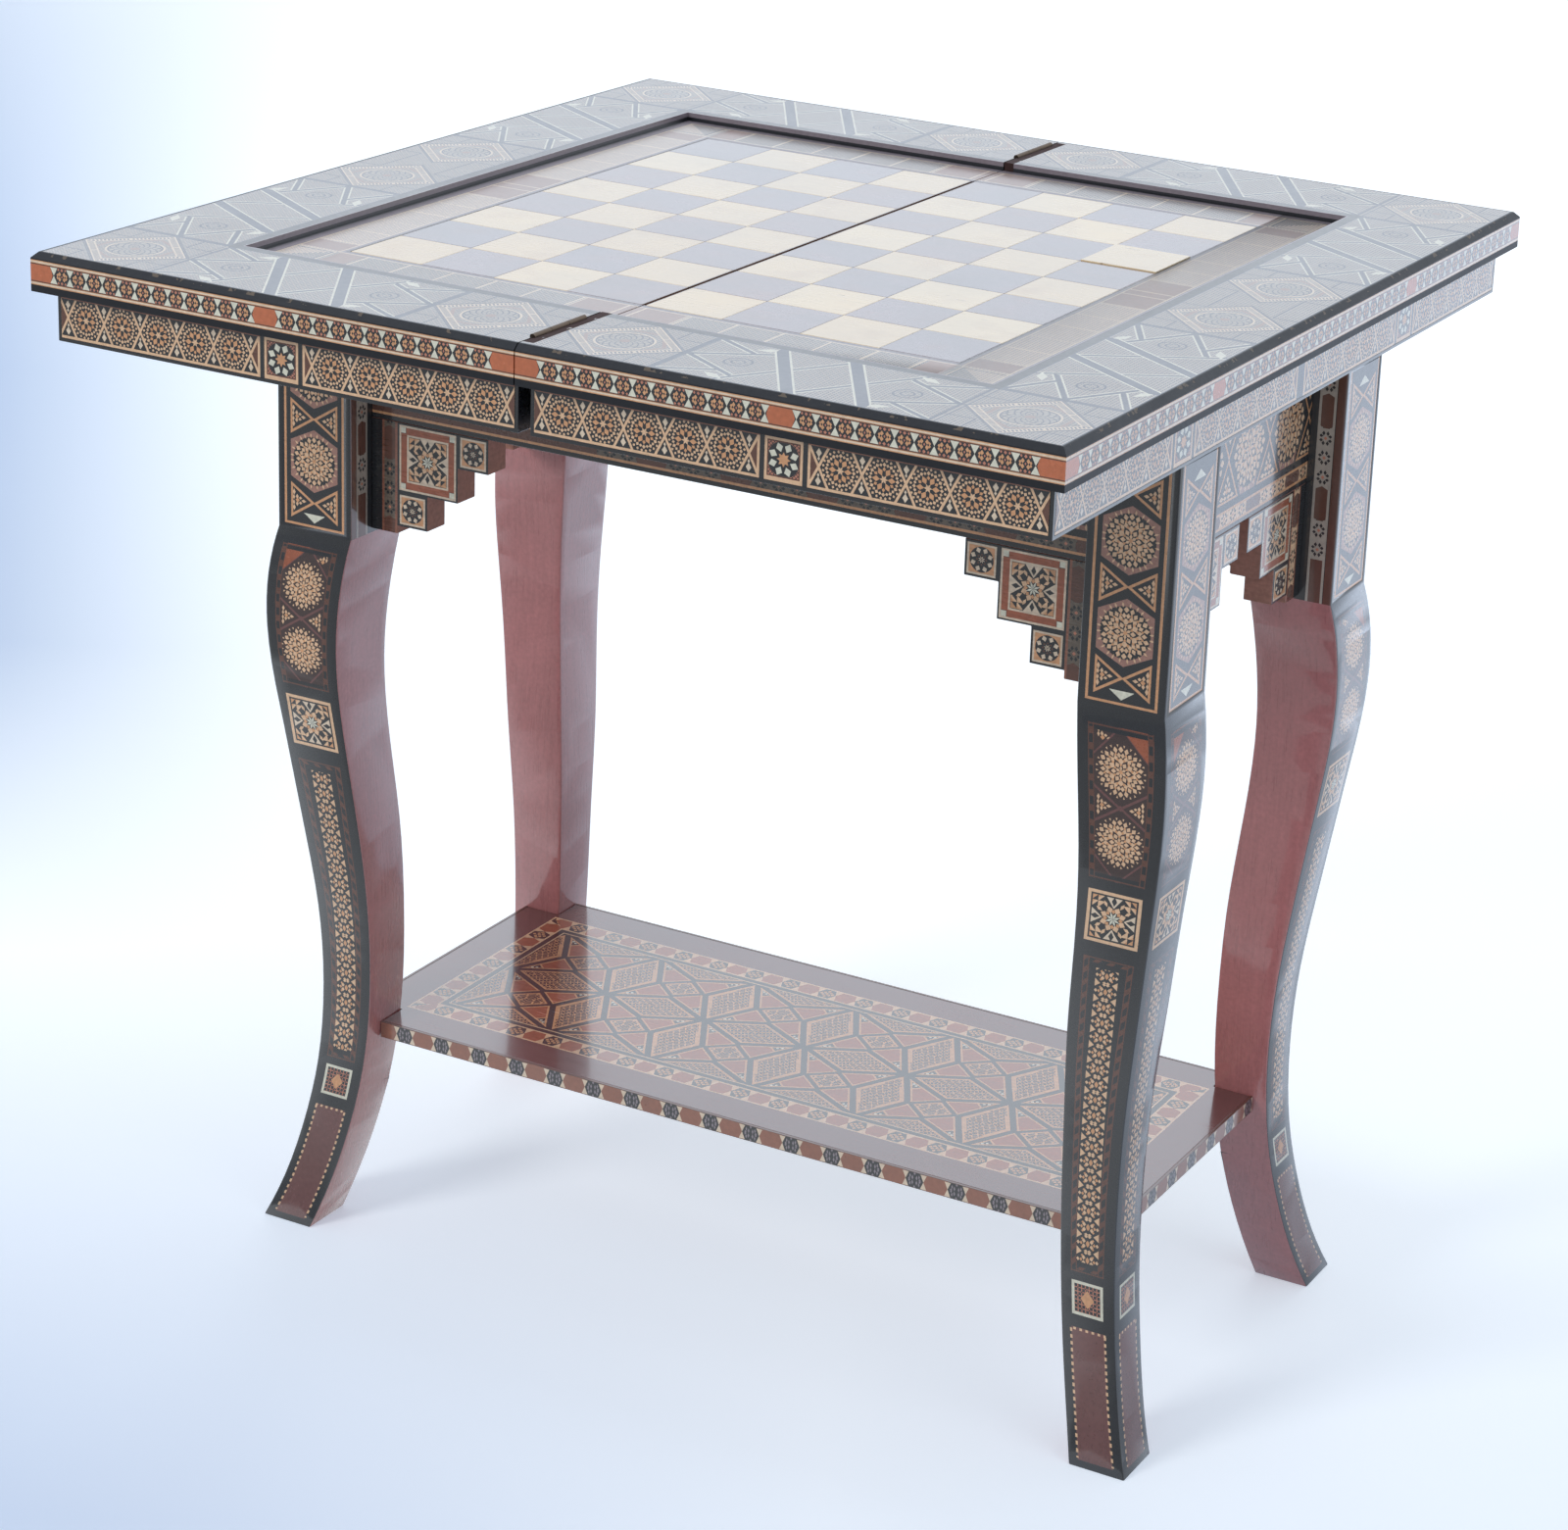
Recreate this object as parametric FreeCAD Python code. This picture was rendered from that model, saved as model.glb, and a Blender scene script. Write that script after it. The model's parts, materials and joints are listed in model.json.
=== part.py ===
# Inlaid folding game table whose double top swivels, shown opened to its chessboard.
# X runs along the long side of the base, Y to the back, Z up.
# The origin lies on the floor under the middle of the opened top, in the plane of its seam.
import FreeCAD, Part
import os

V = FreeCAD.Vector

# Overall sizes of the table
table_height = 793.0
leaf_length = 770.0
end_overhang = 30.0
side_overhang = 20.5
base_shift = 10.0

# Clearances
seam_gap = 1.0
swivel_gap = 0.5
fold_gap = 0.5
panel_gap = 0.2
hinge_gap = 0.3
bolt_gap = 0.4
shelf_gap = 0.3
overrun = 5.0

# Leaves: upper slab with its frame rails
slab_thick = 27.0
slab_bevel = 4.0
rail_width = 100.0
well_depth = 6.0
strip_thick = 2.0
strip_lift = 5.0
strip_lip = 1.0

# Leaves: shallow box under the slab
box_depth = 35.0
box_inset = 12.0
box_seam_inset = 4.0
box_wall = 14.0
box_bottom_thick = 7.0
band_margin = 3.0
bearer_width = 40.0

# Playing surface
border_width = 51.0
square_joint = 0.3
square_thick = 2.0
squares_across = 8
seam_edge = 0.7
border_gap = 0.5

# Legs
leg_width = 64.0
block_height = 176.5
leg_panel_thick = 2.0
leg_panel_side = 6.0
leg_panel_foot = 4.0

# Cabriole curve: height as a share of the block's lower edge, offset as a share of the leg width
outer_curve_shares = [(1.0, 0.0), (0.87, -0.106), (0.722, 0.022), (0.58, 0.175), (0.45, 0.30),
                      (0.34, 0.335), (0.22, 0.28), (0.13, 0.155), (0.06, 0.01), (0.0, -0.17)]
inner_curve_shares = [(1.0, 1.0), (0.91, 0.90), (0.82, 0.855), (0.70, 0.895), (0.57, 0.985),
                      (0.45, 1.02), (0.34, 1.012), (0.22, 0.93), (0.11, 0.76), (0.0, 0.50)]

# Aprons and stepped brackets
apron_inset = 25.5
apron_thick = 22.0
apron_height = 89.5
bracket_strip = 22.5
bracket_toe = 6.0
bracket_space = 15.0
squares_in_bracket = 3

# Shelf
shelf_top = 161.5
shelf_thick = 12.5
shelf_end_inset = 32.0
shelf_side_inset = 37.0
shelf_edging_thick = 2.0

# Storage well in the base
storage_depth = 75.5
storage_thick = 6.0
cleat_size = 12.0

# Swivel
pivot_rail_width = 90.0
pivot_rail_thick = 22.0
plate_size = 66.0
plate_thick = 3.0
bolt_radius = 5.0
bolt_head_radius = 10.0
bolt_head_thick = 6.0
nut_radius = 8.5
nut_thick = 8.0
nut_sides = 6
full_turn = 360.0
washer_radius = 14.0
washer_thick = 2.0
stop_radius = 3.0
stop_circle = 24.0
pivot_block_size = 110.0
head_room = 4.0

# Hinges
hinge_length = 60.0
hinge_plate_thick = 1.2
hinge_plate_height = 18.0
knuckle_radius = 2.0
pin_radius = 0.9
pin_gap = 0.1
knuckle_count = 3
screw_sides = 10
screw_radius = 1.6
screw_head_radius = 3.0
screw_length = 16.0
screw_drop = 10.0
screw_places = (-1, 0, 1)
screw_pitch_share = 0.33

# Levels and places that follow from the sizes above
slab_bottom = table_height - slab_thick
leaf_bottom = slab_bottom - box_depth
base_top = leaf_bottom - swivel_gap
leaf_width = leaf_length / 2
half_length = leaf_length / 2
half_base_x = half_length - end_overhang
half_base_y = leaf_width / 2 - side_overhang
well_edge = leaf_width - rail_width
well_half_length = half_length - rail_width
well_floor = table_height - well_depth
panel_top = well_floor - square_thick
strip_height = slab_thick - slab_bevel - strip_lip - strip_lift
half_board = well_half_length - border_width
square_size = 2 * half_board / squares_across
box_edge = leaf_width - box_inset
box_half_length = half_length - box_inset
box_seam = seam_gap / 2 + box_seam_inset
pivot_block_thick = box_depth - box_bottom_thick - bolt_head_thick - head_room
block_bottom = base_top - block_height
apron_bottom = base_top - apron_height
storage_bottom = base_top - storage_depth
bracket_tile = (half_base_y - leg_width - bracket_strip - bracket_space / 2) / squares_in_bracket
fold_axis_z = table_height + fold_gap / 2
leaf_travel = leaf_width / 2 - base_shift
pivot_x = base_shift + leaf_travel / 2
pivot_y = leaf_travel / 2
apron_back_y = half_base_y - apron_inset - apron_thick
hinge_y = well_half_length + rail_width / 2
shelf_bottom = shelf_top - shelf_thick
sides = {"front": -1, "back": 1}
ends = {"left": -1, "right": 1}
leaves = {"fixed": 1, "folding": -1}


def block(x0, x1, y0, y1, z0, z1):
    """Box between two corners, given in any order."""
    low = V(min(x0, x1), min(y0, y1), min(z0, z1))
    return Part.makeBox(abs(x1 - x0), abs(y1 - y0), abs(z1 - z0), low)


def leaf_block(side, u0, u1, y0, y1, z0, z1):
    """Box in a leaf, where u is the distance from the middle of the seam."""
    return block(side * u0, side * u1, y0, y1, z0, z1)


def upright(radius, x, y, z0, z1):
    """Upright round bar or bore."""
    return Part.makeCylinder(radius, z1 - z0, V(x, y, z0))


def along_y(radius, x, z, y0, y1):
    """Round bar or bore that lies along Y."""
    return Part.makeCylinder(radius, y1 - y0, V(x, y0, z), V(0, 1, 0))


def save(name, shape):
    """Write one named piece."""
    shape.exportStep("parts/" + name + ".step")
    print(name, len(shape.Solids), round(shape.Volume))


def save_base(name, shape):
    """Write a piece of the base, which is modelled about the base's own middle."""
    shape.translate(V(base_shift, 0, 0))
    save(name, shape)


def curve_edge(shares, half_base, place):
    """Spline through a share table, as distances from the leg's outer face."""
    points = []
    for height, offset in shares:
        points.append(place(half_base - offset * leg_width, height * block_bottom))
    spline = Part.BSplineCurve()
    spline.interpolate(points)
    return spline.toShape()


def leg_profile(half_base, place, push):
    """Side view of a leg, extruded right across the leg's width."""
    outer = curve_edge(outer_curve_shares, half_base, place)
    inner = curve_edge(list(reversed(inner_curve_shares)), half_base, place)
    outer_top = place(half_base, base_top)
    inner_top = place(half_base - leg_width, base_top)
    block_outer = Part.LineSegment(outer_top, place(half_base, block_bottom)).toShape()
    block_inner = Part.LineSegment(place(half_base - leg_width, block_bottom), inner_top).toShape()
    foot_outer = outer.valueAt(outer.LastParameter)
    foot_inner = inner.valueAt(inner.FirstParameter)
    foot = Part.LineSegment(foot_outer, foot_inner).toShape()
    head = Part.LineSegment(inner_top, outer_top).toShape()
    wire = Part.Wire([block_outer, outer, foot, inner, block_inner, head])
    return Part.Face(wire).extrude(push)


def leg_blank():
    """Cabriole leg of the corner at +X and +Y, curved alike on both outer faces."""
    reach = leg_width + leg_width
    in_x = leg_profile(half_base_x, lambda a, z: V(a, half_base_y - reach, z), V(0, reach + reach, 0))
    in_y = leg_profile(half_base_y, lambda a, z: V(half_base_x - reach, a, z), V(reach + reach, 0, 0))
    return in_x.common(in_y)


def leg_panel_pair():
    """Two inlaid plates let into the block's outer faces at the corner at +X and +Y."""
    low = block_bottom + leg_panel_foot
    high = base_top - leg_panel_side
    outer = leg_panel_side
    inner = leg_width - leg_panel_side
    on_x = block(half_base_x, half_base_x - leg_panel_thick,
                 half_base_y - outer, half_base_y - inner, low, high)
    on_y = block(half_base_x - outer, half_base_x - inner,
                 half_base_y, half_base_y - leg_panel_thick, low, high)
    return [on_x, on_y]


def to_corner(shape, x_sign, y_sign):
    """Mirror a piece of the corner at +X and +Y to another corner."""
    if x_sign < 0:
        shape = shape.mirror(V(0, 0, 0), V(1, 0, 0))
    if y_sign < 0:
        shape = shape.mirror(V(0, 0, 0), V(0, 1, 0))
    return shape


def make_legs():
    """Four legs and the inlaid plates in their blocks."""
    plates = leg_panel_pair()
    blank = leg_blank()
    for plate in plates:
        blank = blank.cut(plate)
    all_plates = []
    for side_name, y_sign in sides.items():
        for end_name, x_sign in ends.items():
            save_base("leg_" + side_name + "_" + end_name, to_corner(blank.copy(), x_sign, y_sign))
            all_plates += [to_corner(plate, x_sign, y_sign) for plate in plates]
    save_base("leg_panels", Part.makeCompound(all_plates))


def apron_span(half_base):
    """Half the clear distance between two legs."""
    return half_base - leg_width


def make_aprons():
    """Four aprons between the legs, set back from the legs' outer faces."""
    span_x = apron_span(half_base_x)
    span_y = apron_span(half_base_y)
    for name, sign in sides.items():
        face = sign * (half_base_y - apron_inset)
        back = face - sign * apron_thick
        save_base("apron_" + name, block(-span_x, span_x, face, back, apron_bottom, base_top))
    for name, sign in ends.items():
        face = sign * (half_base_x - apron_inset)
        back = face - sign * apron_thick
        save_base("apron_" + name, block(face, back, -span_y, span_y, apron_bottom, base_top))


def bracket_outline(start, sign, place):
    """Stepped outline that climbs away from the leg by one tile at a time."""
    run = start + sign * bracket_strip
    level = apron_bottom - squares_in_bracket * bracket_tile
    toe = level - bracket_toe
    points = [place(start, apron_bottom), place(start, toe), place(run, toe)]
    for _ in range(squares_in_bracket):
        points.append(place(run, level))
        run = run + sign * bracket_tile
        points.append(place(run, level))
        level = level + bracket_tile
    points.append(place(run, apron_bottom))
    points.append(points[0])
    return Part.Face(Part.makePolygon(points))


def make_brackets():
    """A stepped bracket at each end of each apron."""
    for side_name, y_sign in sides.items():
        face = y_sign * (half_base_y - apron_inset)
        for end_name, x_sign in ends.items():
            start = x_sign * apron_span(half_base_x)
            outline = bracket_outline(start, -x_sign, lambda a, z: V(a, face, z))
            shape = outline.extrude(V(0, -y_sign * apron_thick, 0))
            save_base("bracket_" + side_name + "_" + end_name, shape)
    for end_name, x_sign in ends.items():
        face = x_sign * (half_base_x - apron_inset)
        for side_name, y_sign in sides.items():
            start = y_sign * apron_span(half_base_y)
            outline = bracket_outline(start, -y_sign, lambda a, z: V(face, a, z))
            shape = outline.extrude(V(-x_sign * apron_thick, 0, 0))
            save_base("bracket_" + end_name + "_" + side_name, shape)


def make_shelf():
    """Low shelf notched to fit the legs at its level, with inlaid strips on its edges."""
    half_x = half_base_x - shelf_end_inset
    half_y = half_base_y - shelf_side_inset
    level = block(0, leaf_length, 0, leaf_length, shelf_bottom, shelf_top)
    leg_there = leg_blank().common(level).optimalBoundingBox()
    notch_x = leg_there.XMin - shelf_gap
    notch_y = leg_there.YMin - shelf_gap
    core_x = half_x - shelf_edging_thick
    core_y = half_y - shelf_edging_thick
    board = block(-core_x, core_x, -core_y, core_y, shelf_bottom, shelf_top)
    for x_sign in ends.values():
        for y_sign in sides.values():
            notch = block(x_sign * notch_x, x_sign * (half_x + overrun), y_sign * notch_y,
                          y_sign * (half_y + overrun), shelf_bottom - overrun, shelf_top + overrun)
            board = board.cut(notch)
    save_base("shelf", board)
    strips = []
    for sign in sides.values():
        strips.append(block(-notch_x, notch_x, sign * core_y, sign * half_y, shelf_bottom, shelf_top))
        strips.append(block(sign * core_x, sign * half_x, -notch_y, notch_y, shelf_bottom, shelf_top))
    save_base("shelf_edging", Part.makeCompound(strips))


def make_storage():
    """Board that closes the base below, on cleats along the long aprons."""
    inner_x = half_base_x - apron_inset - apron_thick
    storage_top = storage_bottom + storage_thick
    board = block(-inner_x, inner_x, -apron_back_y, apron_back_y, storage_bottom, storage_top)
    for x_sign in ends.values():
        for y_sign in sides.values():
            corner = block(x_sign * apron_span(half_base_x), x_sign * half_base_x,
                           y_sign * apron_span(half_base_y), y_sign * half_base_y,
                           storage_bottom - overrun, storage_top + overrun)
            board = board.cut(corner)
    save_base("storage_board", board)
    span_x = apron_span(half_base_x)
    cleats = []
    for sign in sides.values():
        cleats.append(block(-span_x, span_x, sign * apron_back_y, sign * (apron_back_y - cleat_size),
                            storage_bottom, storage_bottom - cleat_size))
    save_base("storage_cleats", Part.makeCompound(cleats))


def arc_slot(radius, circle, z0, z1):
    """Quarter ring round the pivot with round ends, open for the stop pin."""
    ring = upright(circle + radius, pivot_x, pivot_y, z0, z1)
    ring = ring.cut(upright(circle - radius, pivot_x, pivot_y, z0, z1))
    reach = circle + radius + overrun
    quarter = block(pivot_x, pivot_x - reach, pivot_y, pivot_y - reach, z0, z1)
    slot = ring.common(quarter)
    slot = slot.fuse(upright(radius, pivot_x, pivot_y - circle, z0, z1))
    return slot.fuse(upright(radius, pivot_x - circle, pivot_y, z0, z1)).removeSplitter()


def make_pivot_rail():
    """Rail across the base and the slotted swivel plate that it carries."""
    plate_bottom = base_top - plate_thick
    rail_bottom = plate_bottom - pivot_rail_thick
    half_rail = pivot_rail_width / 2
    rail = block(pivot_x - half_rail, pivot_x + half_rail, -apron_back_y, apron_back_y,
                 rail_bottom, plate_bottom)
    bore = upright(bolt_radius + bolt_gap, pivot_x, pivot_y, rail_bottom - overrun, base_top)
    save("pivot_rail", rail.cut(bore))
    half_plate = plate_size / 2
    plate = block(pivot_x - half_plate, pivot_x + half_plate, pivot_y - half_plate, apron_back_y,
                  plate_bottom, base_top)
    plate = plate.cut(upright(bolt_radius + bolt_gap, pivot_x, pivot_y, plate_bottom, base_top))
    plate = plate.cut(arc_slot(stop_radius + bolt_gap, stop_circle, plate_bottom, base_top))
    save("swivel_plate", plate)


def make_pivot():
    """Bolt, nut, block and stop pin that the fixed leaf turns on."""
    bottom_top = leaf_bottom + box_bottom_thick
    block_top = bottom_top + pivot_block_thick
    rail_bottom = base_top - plate_thick - pivot_rail_thick
    half_block = pivot_block_size / 2
    shank_end = rail_bottom - bolt_gap - washer_thick - nut_thick - bolt_gap
    shank = upright(bolt_radius, pivot_x, pivot_y, shank_end, block_top)
    head = upright(bolt_head_radius, pivot_x, pivot_y, block_top, block_top + bolt_head_thick)
    save("pivot_bolt", shank.fuse(head))
    washer_top = rail_bottom - bolt_gap
    washer = upright(washer_radius, pivot_x, pivot_y, washer_top - washer_thick, washer_top)
    hexagon = nut_prism(washer_top - washer_thick - nut_thick)
    nut = washer.fuse(hexagon).cut(upright(bolt_radius, pivot_x, pivot_y, shank_end, washer_top))
    save("pivot_nut", nut)
    pin_bottom = base_top - plate_thick + bolt_gap
    pin = upright(stop_radius, pivot_x, pivot_y - stop_circle, pin_bottom, block_top)
    save("stop_pin", pin)
    body = block(pivot_x - half_block, pivot_x + half_block, pivot_y - half_block,
                 pivot_y + half_block, bottom_top, block_top)
    save("pivot_block", body.cut(shank).cut(pin))


def nut_prism(bottom):
    """Six-sided nut body under the washer."""
    corners = [V(nut_radius, 0, 0)]
    turn = FreeCAD.Rotation(V(0, 0, 1), full_turn / nut_sides)
    for _ in range(nut_sides):
        corners.append(turn.multVec(corners[-1]))
    face = Part.Face(Part.makePolygon(corners))
    face.translate(V(pivot_x, pivot_y, bottom))
    return face.extrude(V(0, 0, nut_thick))


def leaf_slab(side):
    """Whole slab of one leaf, bevelled round its three free edges."""
    slab = leaf_block(side, seam_gap / 2, leaf_width, -half_length, half_length, slab_bottom, table_height)
    seam_x = side * seam_gap / 2
    rims = []
    for edge in slab.Edges:
        box = edge.BoundBox
        at_top = box.ZMin > table_height - slab_bevel
        at_seam = abs(box.XMin - seam_x) < slab_bevel and abs(box.XMax - seam_x) < slab_bevel
        if at_top and not at_seam:
            rims.append(edge)
    return slab.makeChamfer(slab_bevel, rims)


def slab_strips(side):
    """Inlaid strips let into the slab's three free edges."""
    low = slab_bottom + strip_lift
    high = low + strip_height
    inner = leaf_width - strip_thick
    y_inner = half_length - strip_thick
    strips = [leaf_block(side, inner, leaf_width, -half_length, half_length, low, high)]
    for sign in sides.values():
        strips.append(leaf_block(side, seam_gap / 2, inner, sign * y_inner, sign * half_length, low, high))
    return strips


def box_bands(side):
    """Inlaid bands let into the box's three free faces."""
    low = leaf_bottom + band_margin
    high = slab_bottom - band_margin
    far = box_edge - band_margin
    y_far = box_half_length - band_margin
    bands = [leaf_block(side, box_edge - strip_thick, box_edge, -y_far, y_far, low, high)]
    for sign in sides.values():
        face = sign * box_half_length
        bands.append(leaf_block(side, box_seam + band_margin, far, face - sign * strip_thick, face, low, high))
    return bands


def hinge_recess(y_centre):
    """Round recess for a hinge's knuckles, about the fold axis."""
    half = hinge_length / 2 + hinge_gap
    return along_y(knuckle_radius + hinge_gap, 0, fold_axis_z, y_centre - half, y_centre + half)


def hinge_pocket(side, y_centre):
    """Pocket in the seam face for a hinge plate."""
    half = hinge_length / 2
    face = seam_gap / 2
    return leaf_block(side, face, face + hinge_plate_thick, y_centre - half, y_centre + half,
                      table_height - hinge_plate_height, table_height)


def make_rails(name, side):
    """Front, back and outer frame rails of one leaf's slab."""
    slab = leaf_slab(side)
    for strip in slab_strips(side):
        slab = slab.cut(strip)
    for sign in sides.values():
        slab = slab.cut(hinge_recess(sign * hinge_y))
        slab = slab.cut(hinge_pocket(side, sign * hinge_y))
        for screw in hinge_screws(side, sign * hinge_y):
            slab = slab.cut(screw)
    low = slab_bottom - overrun
    high = table_height + overrun
    far = half_length + overrun
    for rail_name, sign in sides.items():
        zone = leaf_block(side, 0, leaf_width + overrun, sign * well_half_length, sign * far, low, high)
        save(name + "_rail_" + rail_name, slab.common(zone))
    zone = leaf_block(side, well_edge, leaf_width + overrun, -well_half_length, well_half_length, low, high)
    save(name + "_rail_outer", slab.common(zone))


def make_box(name, side):
    """Four walls and the bottom of the shallow box under one leaf."""
    bands = box_bands(side)
    wall_y = box_half_length - box_wall
    for wall_name, sign in sides.items():
        wall = leaf_block(side, box_seam, box_edge, sign * wall_y, sign * box_half_length,
                          leaf_bottom, slab_bottom)
        for band in bands:
            wall = wall.cut(band)
        save(name + "_box_" + wall_name, wall)
    outer = leaf_block(side, box_edge - box_wall, box_edge, -wall_y, wall_y, leaf_bottom, slab_bottom)
    save(name + "_box_outer", outer.cut(bands[0]))
    inner = leaf_block(side, box_seam, box_seam + box_wall, -wall_y, wall_y, leaf_bottom, slab_bottom)
    save(name + "_box_inner", inner)
    bottom = leaf_block(side, box_seam + box_wall, box_edge - box_wall, -wall_y, wall_y,
                        leaf_bottom, leaf_bottom + box_bottom_thick)
    if side > 0:
        bore_top = leaf_bottom + box_bottom_thick
        bottom = bottom.cut(upright(bolt_radius, pivot_x, pivot_y, leaf_bottom, bore_top))
        bottom = bottom.cut(upright(stop_radius, pivot_x, pivot_y - stop_circle, leaf_bottom, bore_top))
    save(name + "_bottom", bottom)


def make_panel(name, side):
    """Board under the playing surface and the bearers that carry it."""
    panel = leaf_block(side, seam_gap / 2, well_edge - panel_gap, panel_gap - well_half_length,
                       well_half_length - panel_gap, slab_bottom, panel_top)
    save(name + "_panel", panel)
    wall_y = box_half_length - box_wall
    bearers = []
    for sign in sides.values():
        centre = sign * (well_half_length - bearer_width / 2)
        bearers.append(leaf_block(side, box_seam + box_wall, box_edge - box_wall,
                                  centre - bearer_width / 2, centre + bearer_width / 2,
                                  leaf_bottom + box_bottom_thick, slab_bottom))
    save(name + "_bearers", Part.makeCompound(bearers))


def square_block(side, column, row):
    """One bone or wood square, set flush in the playing surface."""
    u = seam_gap / 2 + seam_edge + column * square_size
    y = row * square_size - half_board
    return leaf_block(side, u + square_joint / 2, u + square_size - square_joint / 2,
                      y + square_joint / 2, y + square_size - square_joint / 2, panel_top, well_floor)


def make_squares(name, side):
    """Light and dark squares of one half of the chessboard."""
    on_left = side < 0
    colours = {True: [], False: []}
    for column in range(squares_across // 2):
        for row in range(squares_across):
            is_light = (column + row + on_left) % 2 == 0
            colours[is_light].append(square_block(side, column, row))
    save(name + "_light_squares", Part.makeCompound(colours[True]))
    save(name + "_dark_squares", Part.makeCompound(colours[False]))


def make_border(name, side):
    """Mosaic border between the squares and the rails, in three strips."""
    inner_u = seam_gap / 2 + seam_edge + half_board + border_gap
    inner_y = half_board + border_gap
    outer_u = well_edge - panel_gap
    outer_y = well_half_length - panel_gap
    strips = [leaf_block(side, inner_u, outer_u, -outer_y, outer_y, panel_top, well_floor)]
    for sign in sides.values():
        strips.append(leaf_block(side, seam_gap / 2, inner_u, sign * inner_y, sign * outer_y,
                                 panel_top, well_floor))
    save(name + "_border", Part.makeCompound(strips))


def knuckles(y_centre, own):
    """Knuckles of one hinge plate: every second segment along the pin."""
    pitch = hinge_length / knuckle_count
    start = y_centre - hinge_length / 2
    shapes = []
    for index in range(knuckle_count):
        if index % 2 == own:
            low = start + index * pitch + hinge_gap / 2
            high = low + pitch - hinge_gap
            shapes.append(along_y(knuckle_radius, 0, fold_axis_z, low, high))
    return shapes


def screw_ring(radius, x, y, z):
    """Section of a screw that lies along X, with few sides because screws repeat."""
    corners = [V(0, radius, 0)]
    turn = FreeCAD.Rotation(V(1, 0, 0), full_turn / screw_sides)
    for _ in range(screw_sides):
        corners.append(turn.multVec(corners[-1]))
    ring = Part.makePolygon(corners)
    ring.translate(V(x, y, z))
    return ring


def hinge_screws(side, y_centre):
    """Countersunk screws through one hinge plate."""
    face = side * seam_gap / 2
    neck = face + side * hinge_plate_thick
    tip = face + side * screw_length
    z = table_height - screw_drop
    screws = []
    for place in screw_places:
        y = y_centre + place * screw_pitch_share * hinge_length
        rings = [screw_ring(screw_head_radius, face, y, z), screw_ring(screw_radius, neck, y, z),
                 screw_ring(screw_radius, tip, y, z)]
        screws.append(Part.makeLoft(rings, True, True))
    return screws


def hinge_plate(side, y_centre):
    """Hinge plate let into one seam face, with its knuckles and cleared for the others."""
    own = 0 if side > 0 else 1
    half = hinge_length / 2
    shape = hinge_pocket(side, y_centre)
    for other in knuckles(y_centre, 1 - own):
        box = other.BoundBox
        clear = along_y(knuckle_radius + hinge_gap, 0, fold_axis_z, box.YMin - hinge_gap, box.YMax + hinge_gap)
        shape = shape.cut(clear)
    for tube in knuckles(y_centre, own):
        shape = shape.fuse(tube)
    for screw in hinge_screws(side, y_centre):
        shape = shape.cut(screw)
    bore = along_y(pin_radius + pin_gap, 0, fold_axis_z, y_centre - half, y_centre + half)
    return shape.cut(bore).removeSplitter()


def make_hinges(name, side):
    """The two hinge plates of one leaf and their screws."""
    plates = [hinge_plate(side, sign * hinge_y) for sign in sides.values()]
    save(name + "_hinge_plates", Part.makeCompound(plates))
    screws = []
    for sign in sides.values():
        screws += hinge_screws(side, sign * hinge_y)
    save(name + "_hinge_screws", Part.makeCompound(screws))


def make_hinge_pins():
    """Pins of the two hinges."""
    half = hinge_length / 2
    pins = []
    for sign in sides.values():
        centre = sign * hinge_y
        pins.append(along_y(pin_radius, 0, fold_axis_z, centre - half, centre + half))
    save("hinge_pins", Part.makeCompound(pins))


os.makedirs("parts", exist_ok=True)
make_legs()
make_aprons()
make_brackets()
make_shelf()
make_storage()
make_pivot_rail()
make_pivot()
make_hinge_pins()
for leaf_name, leaf_side in leaves.items():
    make_rails(leaf_name, leaf_side)
    make_box(leaf_name, leaf_side)
    make_panel(leaf_name, leaf_side)
    make_squares(leaf_name, leaf_side)
    make_border(leaf_name, leaf_side)
    make_hinges(leaf_name, leaf_side)
    save(leaf_name + "_edge_inlay", Part.makeCompound(slab_strips(leaf_side) + box_bands(leaf_side)))
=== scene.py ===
"""Looks of the inlaid folding game table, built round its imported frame.

Lengths are in metres and patterns are drawn in millimetres. A leaf's pattern is measured
from the seam, and both leaves and all four legs share their patterns by mirrored coordinates.
"""

import json
import math

import bmesh
import bpy
import numpy as np
from mathutils import Matrix, Vector

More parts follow.
